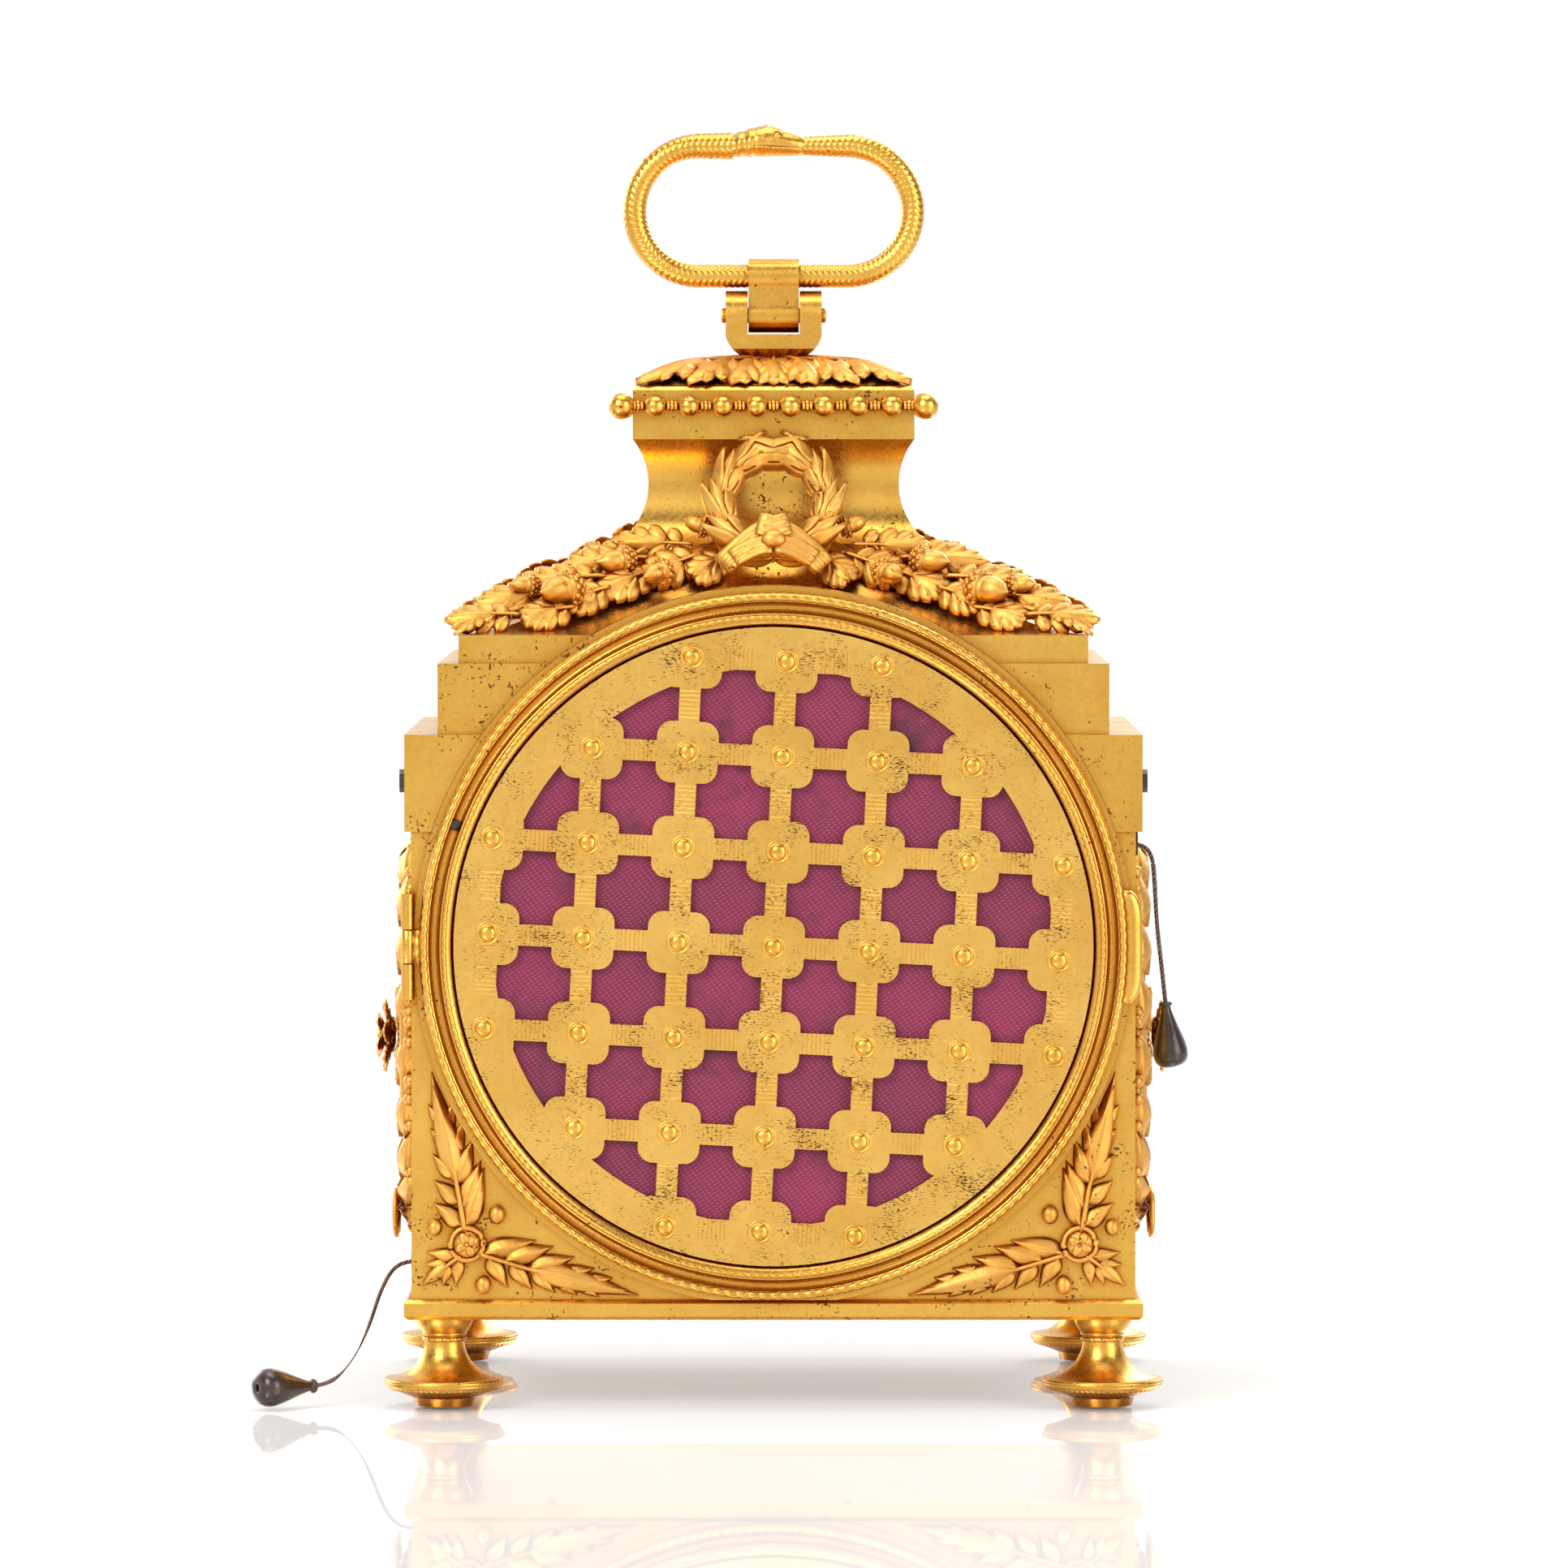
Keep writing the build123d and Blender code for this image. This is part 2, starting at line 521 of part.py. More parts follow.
# ---------------------------------------------------------------- gilt mounts
with BuildPart() as roof_wreaths:
    for side in (1, -1):
        wreath_y = side * (ROOF_DEEP - ROOF_SLOPE_IN + 1.0)
        wreath = Plane(origin=(0, wreath_y, NECK_Z + 6.2), x_dir=(1, 0, 0), z_dir=(0, side, 0.35))
        with BuildSketch(wreath):
            Circle(11.4)
            Circle(6.4, mode=Mode.SUBTRACT)
        extrude(amount=2.6)
save(roof_wreaths.part, "roof_wreaths")

SPRAY_T = 2.2
with BuildPart() as corner_sprays:
    for side in (1, -1):
        for turn in (1, -1):
            with BuildSketch(facing(side * (HALF_D + SEAT))):
                with BuildLine():
                    corner = (turn * (HALF_W - 1.2), BASE_TOP + 0.8 - FACE_Z)
                    up = (turn * (HALF_W - 1.6), BASE_TOP + 34.0 - FACE_Z)
                    along = (turn * 23.5, BASE_TOP + 1.6 - FACE_Z)
                    hollow_at = radians(-41)
                    hollow = (turn * (FACE_R + 1.6) * cos(hollow_at), (FACE_R + 1.6) * sin(hollow_at))
                    Line(corner, up)
                    ThreePointArc(up, hollow, along)
                    Line(along, corner)
                make_face()
                Circle(FACE_R + 0.35, mode=Mode.SUBTRACT)
            extrude(amount=-side * SPRAY_T)
save(corner_sprays.part, "corner_sprays")

ORNAMENT_Z = BASE_TOP + 42.3
BOSS_R = 11.0
BOSS_OUT = 8.0
BOSS_RIM = 2.4
with BuildPart() as side_wreaths:
    for side in (-1, 1):
        with BuildSketch(Plane(origin=(side * (HALF_W + SEAT), 0, ORNAMENT_Z), x_dir=(0, 1, 0),
                               z_dir=(side, 0, 0))):
            Ellipse(20.0, 33.4)
            Ellipse(15.0, 28.4, mode=Mode.SUBTRACT)
        extrude(amount=4.6)
save(side_wreaths.part, "side_wreaths")

with BuildPart() as side_bosses:
    for side in (-1, 1):
        with BuildSketch(Plane.XZ):
            with BuildLine():
                wall_x = side * (HALF_W + SEAT)
                rim_x = wall_x + side * BOSS_RIM
                crown = dome(rim_x, BOSS_R, side * (BOSS_OUT - BOSS_RIM), ORNAMENT_Z)
                Polyline(crown @ 1, (wall_x, ORNAMENT_Z), (wall_x, ORNAMENT_Z + BOSS_R), crown @ 0)
            make_face()
        revolve(axis=Axis((0, 0, ORNAMENT_Z), (1, 0, 0)))
save(side_bosses.part, "side_bosses")

with BuildPart() as side_buttons:
    for side in (1, -1):
        with BuildSketch(Plane.YZ.offset(side * (HALF_W + STEP_OUT[0] - 1.5))):
            with Locations((BUTTON_Y, BUTTON_Z)):
                Circle(BUTTON_R - 0.55)
        extrude(amount=side * 1.6)
        with BuildSketch(Plane.YZ.offset(side * (HALF_W + STEP_OUT[0] + SEAT))):
            with Locations((BUTTON_Y, BUTTON_Z)):
                Circle(BUTTON_R)
        extrude(amount=side * 1.1)
save(side_buttons.part, "side_buttons")

# ---------------------------------------------------------------- dial and movement
with BuildPart() as dial_ring:
    with BuildSketch(facing(-RING_FACE + 2.6)):
        Circle(RING_IN - SEAT)
        Circle(DIAL_R - 2.5, mode=Mode.SUBTRACT)
    extrude(amount=1.4)
    with BuildSketch(facing(DIAL_Y + DIAL_T + 3.0)):
        Circle(RING_IN - SEAT)
        Circle(DIAL_R + 0.3, mode=Mode.SUBTRACT)
    extrude(amount=DIAL_Y + DIAL_T + 3.0 + RING_FACE - 2.6)
save(dial_ring.part, "dial_ring")

DIAL_BACK = DIAL_Y + DIAL_T
HOUR_TUBE_R = 2.6
with BuildPart() as dial:
    with BuildSketch(facing(DIAL_BACK)):
        Circle(DIAL_R)
        Circle(HOUR_TUBE_R + 0.5, mode=Mode.SUBTRACT)
    extrude(amount=DIAL_T)
    with BuildSketch(facing(FRONT_PLATE_Y - PLATE_T)):
        with PolarLocations(36.0, 3, 90):
            Circle(1.2)
    extrude(amount=DIAL_BACK * -1 + FRONT_PLATE_Y - PLATE_T)
save(dial.part, "dial")

# gear tooth shares of the tooth pitch, at the root, on the pitch circle and at the tip
TOOTH = (0.30, 0.195, 0.09)
ADDENDUM = 0.85
DEDENDUM = 1.15


def gear(teeth, module, first=0.0):
    """A flat-flanked gear's outline, with one tooth centred on the direction first, in degrees."""
    pitch_r = teeth * module / 2
    pitch = 2 * pi / teeth
    root_r = pitch_r - DEDENDUM * module
    tip_r = pitch_r + ADDENDUM * module
    rings = ((root_r, -TOOTH[0]), (pitch_r, -TOOTH[1]), (tip_r, -TOOTH[2]),
             (tip_r, TOOTH[2]), (pitch_r, TOOTH[1]), (root_r, TOOTH[0]))
    points = []
    for i in range(teeth):
        for r, share in rings:
            turn = radians(first) + pitch * (i + share)
            points.append((r * cos(turn), r * sin(turn)))
    with BuildSketch() as outline:
        with BuildLine():
            Polyline(*points, close=True)
        make_face()
    return outline.sketch_local


def facing_gap(teeth, direction):
    """Where a gear's first tooth goes, so that a gap meets the tooth of the driver that lies back along direction."""
    return direction + 180 + 180 / teeth


# the going train and the motion work: module, teeth, and the direction from each wheel to the next
M_TRAIN = 0.5
M_FINE = 0.4
BARREL_TEETH = 80
CENTRE_PINION = 10
CENTRE_TEETH = 60
THIRD_PINION = 8
THIRD_TEETH = 60
ESCAPE_PINION = 8
ESCAPE_TEETH = 15
CANNON_TEETH = 12
MINUTE_TEETH = 36
MINUTE_PINION = 10
HOUR_TEETH = 40
BARREL_DIR = 205.0
THIRD_DIR = 60.0
ESCAPE_DIR = 120.0
MINUTE_DIR = -30.0

barrel_gap = M_TRAIN * (BARREL_TEETH + CENTRE_PINION) / 2
third_gap = M_TRAIN * (CENTRE_TEETH + THIRD_PINION) / 2
escape_gap = M_FINE * (THIRD_TEETH + ESCAPE_PINION) / 2
minute_gap = M_FINE * (CANNON_TEETH + MINUTE_TEETH) / 2
M_HOUR = 2 * minute_gap / (MINUTE_PINION + HOUR_TEETH)


def step_off(x, z, distance, direction):
    """The point that lies a distance away in a direction, in degrees, in the plane of the plates."""
    return (x + distance * cos(radians(direction)), z + distance * sin(radians(direction)))


CENTRE = (0.0, FACE_Z)
BARREL = step_off(*CENTRE, barrel_gap, BARREL_DIR)
THIRD = step_off(*CENTRE, third_gap, THIRD_DIR)
ESCAPE = step_off(*THIRD, escape_gap, ESCAPE_DIR)
MINUTE = step_off(*CENTRE, minute_gap, MINUTE_DIR)
LEVER_GAP = 8.4
BALANCE_GAP = 9.0
ESCAPE_TO_LEVER = 160.0
LEVER = step_off(*ESCAPE, LEVER_GAP, ESCAPE_TO_LEVER)
BALANCE = step_off(*LEVER, BALANCE_GAP, 225.0)
STRIKE_DIR = -35.0
STRIKE_GAP = 27.0
STRIKE = step_off(*CENTRE, STRIKE_GAP, STRIKE_DIR)
STRIKE_TEETH = 72
STRIKE_PINION = 10
STRIKE2_DIR = 75.0
STRIKE2 = step_off(*STRIKE, M_TRAIN * (STRIKE_TEETH + STRIKE_PINION) / 2, STRIKE2_DIR)
STRIKE2_TEETH = 50
FLY_PINION = 8
FLY_DIR = 95.0
FLY = step_off(*STRIKE2, M_FINE * (STRIKE2_TEETH + FLY_PINION) / 2, FLY_DIR)
HAMMER = (-28.0, FACE_Z + 30.0)
DRUM_HIGH = (-33.0, FACE_Z + 14.0)
DRUM_LOW = (30.0, FACE_Z - 27.0)
DRUM_R = 5.0

pillar_spots = [step_off(0, FACE_Z, PILLAR_AT, turn) for turn in (10, 100, 150, 265)]

# ---------------------------------------------------------------- plates
train_spots = [BARREL, THIRD, ESCAPE, LEVER, STRIKE, STRIKE2, FLY]
plate_spots = {"front_plate": train_spots + [MINUTE],
               "back_plate": train_spots + [CENTRE, BALANCE, HAMMER, DRUM_HIGH, DRUM_LOW]}
for name, y, away in (("front_plate", FRONT_PLATE_Y, 1), ("back_plate", BACK_PLATE_Y, -1)):
    with BuildPart() as plate:
        with BuildSketch(facing(y)):
            Circle(PLATE_R)
            with Locations(*[(x, z - FACE_Z) for x, z in plate_spots[name]]):
                Circle(PIVOT_R + RUN, mode=Mode.SUBTRACT)
            if away == 1:
                Circle(ARBOR_R + RUN, mode=Mode.SUBTRACT)
        extrude(amount=away * PLATE_T)
    save(plate.part, name)

with BuildPart() as pillars:
    with BuildSketch(facing(BACK_PLATE_Y)):
        with Locations(*[(x, z - FACE_Z) for x, z in pillar_spots]):
            Circle(PILLAR_R)
    extrude(amount=PLATE_GAP)
save(pillars.part, "pillars")

# ---------------------------------------------------------------- wheels
PIVOT_L = 1.6  # a pivot's length in its plate
END_SHAKE = 0.15
HOUR_HAND_Y = DIAL_Y - 2.3
MINUTE_HAND_Y = HOUR_HAND_Y - 1.3
HAND_T = 0.5


def disc(y, thick, sketch, spot, away=1):
    """Extrudes a flat outline about a spot on the plates, from y towards +Y."""
    with BuildPart() as body:
        with BuildSketch(facing(y, spot[0], spot[1])):
            add(sketch)
        extrude(amount=-thick * away)
    return body.part


def round_sketch(radius, bore=0.0):
    """A disc, or a ring when it has a bore."""
    with BuildSketch() as outline:
        Circle(radius)
        if bore:
            Circle(bore, mode=Mode.SUBTRACT)
    return outline.sketch_local


def crossed(outline, radius):
    """A wheel's outline with four openings between its spokes."""
    with BuildSketch() as wheel:
        add(outline)
        with PolarLocations(0.57 * radius, 4, 45):
            Circle(0.24 * radius, mode=Mode.SUBTRACT)
    return wheel.sketch_local


def arbor(spot, wheel=None, start=FRONT_PLATE_Y, end=BACK_PLATE_Y, radius=ARBOR_R):
    """An arbor between the plates, with a pivot in each."""
    low = start + END_SHAKE
    high = end - END_SHAKE
    with BuildPart() as body:
        add(disc(low, high - low, round_sketch(radius), spot))
        add(disc(start - PIVOT_L, end - start + 2 * PIVOT_L, round_sketch(PIVOT_R), spot))
    return body.part


WHEEL_Y = -5.5  # centre wheel and third pinion
BARREL_WHEEL_Y = -15.5
THIRD_WHEEL_Y = -22.0
ESCAPE_Y = 1.0
STRIKE_WHEEL_Y = -15.5
STRIKE2_WHEEL_Y = -10.0
FLY_Y = -4.0

with BuildPart() as centre_wheel:
    with BuildSketch(facing(BACK_PLATE_Y - END_SHAKE)):
        Circle(ARBOR_R)
    extrude(amount=BACK_PLATE_Y - END_SHAKE - MINUTE_HAND_Y + HAND_T)
    with BuildSketch(facing(BACK_PLATE_Y + PIVOT_L)):
        Circle(PIVOT_R)
    extrude(amount=PIVOT_L + 1.0)
    add(disc(WHEEL_Y, WHEEL_T, crossed(gear(CENTRE_TEETH, M_TRAIN, THIRD_DIR), 14.0), CENTRE))
    add(disc(BARREL_WHEEL_Y - 1, PINION_T,
             gear(CENTRE_PINION, M_TRAIN, facing_gap(CENTRE_PINION, BARREL_DIR - 180)), CENTRE))
save(centre_wheel.part, "centre_wheel")

with BuildPart() as going_barrel:
    add(arbor(BARREL))
    add(disc(BARREL_WHEEL_Y, WHEEL_T, gear(BARREL_TEETH, M_TRAIN, BARREL_DIR + 180), BARREL))
    add(disc(BARREL_WHEEL_Y - 13.0, 13.0, round_sketch(17.5), BARREL))
save(going_barrel.part, "going_barrel")

with BuildPart() as third_wheel:
    add(arbor(THIRD))
    add(disc(WHEEL_Y - 1, PINION_T, gear(THIRD_PINION, M_TRAIN, facing_gap(THIRD_PINION, THIRD_DIR)), THIRD))
    add(disc(THIRD_WHEEL_Y, WHEEL_T, crossed(gear(THIRD_TEETH, M_FINE, ESCAPE_DIR), 11.0), THIRD))
save(third_wheel.part, "third_wheel")

with BuildPart() as escape_wheel:
    add(arbor(ESCAPE))
    add(disc(THIRD_WHEEL_Y - 1, PINION_T,
             gear(ESCAPE_PINION, M_FINE, facing_gap(ESCAPE_PINION, ESCAPE_DIR)), ESCAPE))
    escape_outline = []
    for i in range(ESCAPE_TEETH):
        for r, share in ((3.9, 0.0), (5.0, 0.1), (5.0, 0.22), (3.9, 0.5)):
            turn = 2 * pi * (i + share) / ESCAPE_TEETH
            escape_outline.append((r * cos(turn), r * sin(turn)))
    with BuildSketch(facing(ESCAPE_Y, ESCAPE[0], ESCAPE[1])):
        with BuildLine():
            Polyline(*escape_outline, close=True)
        make_face()
    extrude(amount=-0.8)
save(escape_wheel.part, "escape_wheel")

with BuildPart() as lever:
    add(arbor(LEVER))
    with BuildSketch(facing(ESCAPE_Y, LEVER[0], LEVER[1])):
        with Locations(Location((0, 0), 225.0)):
            with Locations((2.6, 0)):
                Rectangle(6.6, 1.2)
            with Locations((-0.4, 0)):
                Rectangle(1.2, 5.0)
    extrude(amount=-0.8)
save(lever.part, "lever")

BALANCE_Y = BACK_PLATE_Y + PLATE_T + 2.2
COCK_Y = BALANCE_Y + 3.2
BALANCE_R = 8.0
with BuildPart() as balance_wheel:
    with BuildSketch(facing(BALANCE_Y, BALANCE[0], BALANCE[1])):
        Circle(BALANCE_R)
        Circle(BALANCE_R - 1.0, mode=Mode.SUBTRACT)
        Rectangle(2 * BALANCE_R - 1.0, 1.2)
        Circle(1.3)
    extrude(amount=-0.8)
    add(disc(ESCAPE_Y, COCK_Y + 1.4 - ESCAPE_Y, round_sketch(PIVOT_R), BALANCE))
    staff_y = BACK_PLATE_Y + PLATE_T + 0.3
    add(disc(staff_y, COCK_Y - 0.3 - staff_y, round_sketch(ARBOR_R), BALANCE))
save(balance_wheel.part, "balance_wheel")

COCK_FOOT = step_off(*BALANCE, 12.0, 150.0)
with BuildPart() as balance_cock:
    with BuildSketch(facing(COCK_Y, COCK_FOOT[0], COCK_FOOT[1])):
        Circle(2.6)
        with Locations(Location((0, 0), -30.0)):
            with Locations((6.0, 0)):
                Rectangle(12.0, 3.6)
        with Locations((BALANCE[0] - COCK_FOOT[0], BALANCE[1] - COCK_FOOT[1])):
            Circle(2.6)
            Circle(PIVOT_R + RUN, mode=Mode.SUBTRACT)
    extrude(amount=-1.6)
    add(disc(BACK_PLATE_Y + PLATE_T, COCK_Y - BACK_PLATE_Y - PLATE_T, round_sketch(2.6), COCK_FOOT))
save(balance_cock.part, "balance_cock")

with BuildPart() as strike_barrel:
    add(arbor(STRIKE))
    add(disc(STRIKE_WHEEL_Y, WHEEL_T, gear(STRIKE_TEETH, M_TRAIN, STRIKE2_DIR), STRIKE))
    add(disc(STRIKE_WHEEL_Y - 13.0, 13.0, round_sketch(15.0), STRIKE))
save(strike_barrel.part, "strike_barrel")

with BuildPart() as strike_wheel:
    add(arbor(STRIKE2))
    add(disc(STRIKE_WHEEL_Y - 1, PINION_T,
             gear(STRIKE_PINION, M_TRAIN, facing_gap(STRIKE_PINION, STRIKE2_DIR)), STRIKE2))
    add(disc(STRIKE2_WHEEL_Y, WHEEL_T, crossed(gear(STRIKE2_TEETH, M_FINE, FLY_DIR), 9.2), STRIKE2))
save(strike_wheel.part, "strike_wheel")

with BuildPart() as fly:
    add(arbor(FLY))
    add(disc(STRIKE2_WHEEL_Y - 1, PINION_T, gear(FLY_PINION, M_FINE, facing_gap(FLY_PINION, FLY_DIR)), FLY))
    with Locations((FLY[0], FLY_Y + 3.0, FLY[1])):
        Box(8.0, 6.0, 0.8)
save(fly.part, "fly")

# ---------------------------------------------------------------- motion work and hands
CANNON_Y = FRONT_PLATE_Y - PLATE_T - 2.6
HOUR_Y = CANNON_Y - 1.5
CANNON_R = 1.5
with BuildPart() as cannon_pinion:
    add(disc(CANNON_Y, 2.2, gear(CANNON_TEETH, M_FINE, MINUTE_DIR), CENTRE))
    tube_y = MINUTE_HAND_Y + HAND_T
    add(disc(tube_y, CANNON_Y - tube_y + 0.5, round_sketch(CANNON_R), CENTRE))
    with BuildSketch(facing(FRONT_PLATE_Y)):
        Circle(ARBOR_R + 0.01)
    extrude(amount=30, mode=Mode.SUBTRACT)
save(cannon_pinion.part, "cannon_pinion")

with BuildPart() as minute_wheel:
    wheel_y = CANNON_Y + 0.5
    pinion_y = HOUR_Y - 0.4
    add(disc(wheel_y, 0.8, gear(MINUTE_TEETH, M_FINE, facing_gap(MINUTE_TEETH, MINUTE_DIR)), MINUTE))
    add(disc(pinion_y, wheel_y - pinion_y, gear(MINUTE_PINION, M_HOUR, MINUTE_DIR + 180), MINUTE))
    add(disc(wheel_y, FRONT_PLATE_Y - PLATE_T + PIVOT_L - wheel_y, round_sketch(PIVOT_R), MINUTE))
save(minute_wheel.part, "minute_wheel")

with BuildPart() as hour_wheel:
    add(disc(HOUR_Y, 0.8, gear(HOUR_TEETH, M_HOUR, MINUTE_DIR + 180 / HOUR_TEETH), CENTRE))
    add(disc(HOUR_HAND_Y + HAND_T, HOUR_Y - HOUR_HAND_Y - HAND_T + 0.4, round_sketch(HOUR_TUBE_R), CENTRE))
    with BuildSketch(facing(CANNON_Y)):
        Circle(CANNON_R + RUN)
    extrude(amount=30, mode=Mode.SUBTRACT)
save(hour_wheel.part, "hour_wheel")


def hand(y, length, width, bore, turn):
    """A flat pierced hand about the dial's centre, pointing turn degrees clockwise from twelve."""
    with BuildPart() as body:
        with BuildSketch(facing(y)):
            Circle(bore + 1.5)
            with Locations(Location((0, 0), -turn)):
                with Locations((0, length / 2)):
                    Rectangle(width, length)
                with Locations((0, 0.62 * length)):
                    Circle(1.9 * width)
                    Circle(1.1 * width, mode=Mode.SUBTRACT)
            Circle(bore, mode=Mode.SUBTRACT)
        extrude(amount=-HAND_T)
    return body.part


save(hand(MINUTE_HAND_Y, 42.0, 1.4, ARBOR_R + 0.01, 60.0), "minute_hand")
save(hand(HOUR_HAND_Y, 29.0, 1.8, CANNON_R + RUN, 305.0), "hour_hand")
ALARM_HAND_Y = DIAL_Y - 1.2
with BuildPart() as alarm_hand:
    add(hand(ALARM_HAND_Y, 17.0, 1.0, HOUR_TUBE_R + RUN, 180.0))
    add(disc(ALARM_HAND_Y, DIAL_BACK - ALARM_HAND_Y - 0.2,
             round_sketch(HOUR_TUBE_R + 0.4, HOUR_TUBE_R + RUN), CENTRE))
save(alarm_hand.part, "alarm_hand")

# ---------------------------------------------------------------- bell, hammer and pull drums
BELL = (4.0, FACE_Z - 4.0)
BELL_R = 33.0
BELL_HOLE_R = PIVOT_R + 1.2
BELL_Y = BACK_PLATE_Y + PLATE_T + 13.0
with BuildPart() as bell:
    with BuildSketch(Plane(origin=(BELL[0], 0, BELL[1]), x_dir=(0, 1, 0), z_dir=(1, 0, 0))):
        with BuildLine():
            shell = ThreePointArc((BELL_Y, BELL_R), (BELL_Y + 8.5, 0.72 * BELL_R), (BELL_Y + 11.5, BELL_HOLE_R))
            back = ThreePointArc((BELL_Y + 10.3, BELL_HOLE_R), (BELL_Y + 7.4, 0.69 * BELL_R),
                                 (BELL_Y, BELL_R - 1.6))
            Line(shell @ 1, back @ 0)
            Line(back @ 1, shell @ 0)
        make_face()
    revolve(axis=Axis((BELL[0], 0, BELL[1]), (0, 1, 0)))
    add(disc(BACK_PLATE_Y + PLATE_T, BELL_Y + 10.2 - BACK_PLATE_Y - PLATE_T, round_sketch(2.4), BELL))
    add(disc(BELL_Y + 9.0, 4.4, round_sketch(PIVOT_R + 1.1), BELL))
    add(disc(BELL_Y + 11.9, 1.6, round_sketch(3.0), BELL))
save(bell.part, "bell")

HAMMER_DIR = 12.0
HAMMER_L = 22.0
HAMMER_Y = BELL_Y - 0.5
with BuildPart() as hammer:
    add(disc(BACK_PLATE_Y + 0.3, HAMMER_Y - BACK_PLATE_Y, round_sketch(PIVOT_R), HAMMER))
    add(disc(BACK_PLATE_Y + PLATE_T + 0.2, HAMMER_Y - BACK_PLATE_Y - PLATE_T, round_sketch(1.6), HAMMER))
    with BuildSketch(facing(HAMMER_Y, HAMMER[0], HAMMER[1])):
        with Locations(Location((0, 0), HAMMER_DIR)):
            with Locations((HAMMER_L / 2, 0)):
                Rectangle(HAMMER_L, 1.6)
            with Locations((HAMMER_L, 0)):
                Circle(3.0)
    extrude(amount=-2.0)
save(hammer.part, "hammer")

for name, spot in (("repeat_drum", DRUM_HIGH), ("alarm_drum", DRUM_LOW)):
    with BuildPart() as drum:
        add(disc(BACK_PLATE_Y + 0.3, PLATE_T + 6.0, round_sketch(PIVOT_R), spot))
        add(disc(BACK_PLATE_Y + PLATE_T + 0.2, 0.8, round_sketch(DRUM_R + 1.2), spot))
        add(disc(BACK_PLATE_Y + PLATE_T + 0.8, 3.4, round_sketch(DRUM_R), spot))
        add(disc(BACK_PLATE_Y + PLATE_T + 4.0, 0.8, round_sketch(DRUM_R + 1.2), spot))
    save(drum.part, name)

# ---------------------------------------------------------------- pull cords
with BuildPart() as cord_bushes:
    for hole, out in ((CORD_HIGH, -1), (CORD_LOW, 1)):
        with BuildSketch(Plane(origin=(out * (HALF_W + SEAT), hole[1], hole[2]), x_dir=(0, 1, 0),
                               z_dir=(out, 0, 0))):
            Circle(BUSH_R)
            Circle(TUBE_D / 2 + 0.05, mode=Mode.SUBTRACT)
        extrude(amount=BUSH_PROUD)
        with BuildSketch(Plane(origin=(out * (HALF_W + SEAT), hole[1], hole[2]), x_dir=(0, 1, 0),
                               z_dir=(out, 0, 0))):
            Circle(BUSH_R - 0.7)
            Circle(TUBE_D / 2 + 0.05, mode=Mode.SUBTRACT)
        extrude(amount=-WALL)
save(cord_bushes.part, "cord_bushes")

# a route runs from inside its bush to the pear's neck; each corner is as round as its runs allow
REPEAT_ROUTE = [(-60.6, 27.0, 95.5), (-63.3, 27.0, 95.5), (-65.2, 27.3, 93.6), (-65.6, 27.8, 89.0),
                (-65.9, 28.4, 82.0), (-66.7, 28.9, 75.0), (-67.4, 29.2, 68.4)]
ALARM_ROUTE = [(60.6, 20.0, 22.9), (63.3, 20.0, 22.9), (66.0, 20.9, 21.6), (68.0, 22.8, 17.8),
               (69.6, 26.0, 12.6), (71.6, 30.2, 7.9), (74.2, 34.8, 4.6), (76.4, 38.4, 3.4), (78.4, 41.2, 3.25)]


def cord(route, diameter):
    """A tube along straight runs joined by tangent arcs, and the arcs' radii."""
    points = [Vector(*p) for p in route]
    radii = []
    for before, at, after in zip(points, points[1:], points[2:]):
        turn = radians((at - before).get_angle(after - at))
        radii.append(0.45 * min((at - before).length, (after - at).length) / tan(turn / 2))
    with BuildPart() as tube:
        with BuildLine() as line:
            path = FilletPolyline(*points, radius=radii)
        with BuildSketch(Plane(origin=points[0], z_dir=points[1] - points[0])):
            Circle(diameter / 2)
        sweep(path=path)
    length = path.length
    print("radii", [round(r, 2) for r in radii], "length", round(length, 2),
          "volume ratio", round(tube.part.volume / (length * pi * diameter**2 / 4), 4))
    return tube.part


def pear(neck, toward, length, radius):
    """A turned pear from its neck, with a small bead at the neck and a dimple in its foot."""
    direction = Vector(*toward).normalized()
    place = Plane(origin=Vector(*neck), z_dir=direction)
    with BuildPart() as body:
        with BuildSketch(Plane.XZ) as half:
            with BuildLine():
                Polyline((0, 0), (0.9, 0.0), (1.1, 0.7))
                Spline((1.1, 0.7), (0.50 * radius, 0.33 * length), (radius, 0.70 * length),
                       (0.62 * radius, length), tangents=((0.2, 1), (-0.9, 0.4)))
                Polyline((0.62 * radius, length), (0, length), (0, 0))
            make_face()
        revolve(axis=Axis.Z)
    return place.location * body.part


save(cord(REPEAT_ROUTE, TUBE_D), "repeat_cord")
save(cord(ALARM_ROUTE, TUBE_D), "alarm_cord")
save(pear(REPEAT_ROUTE[-1], (-0.10, 0.04, -1.0), PEAR_L, PEAR_R), "repeat_pear")
save(pear(ALARM_ROUTE[-1], (0.80, 0.60, 0.03), 1.06 * PEAR_L, 1.1 * PEAR_R), "alarm_pear")
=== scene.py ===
"""The looks of the officer's travelling clock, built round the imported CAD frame. Metres."""

import random
from math import atan2, cos, hypot, pi, radians, sin, sqrt

import bmesh
import bpy
from mathutils import Matrix, Vector


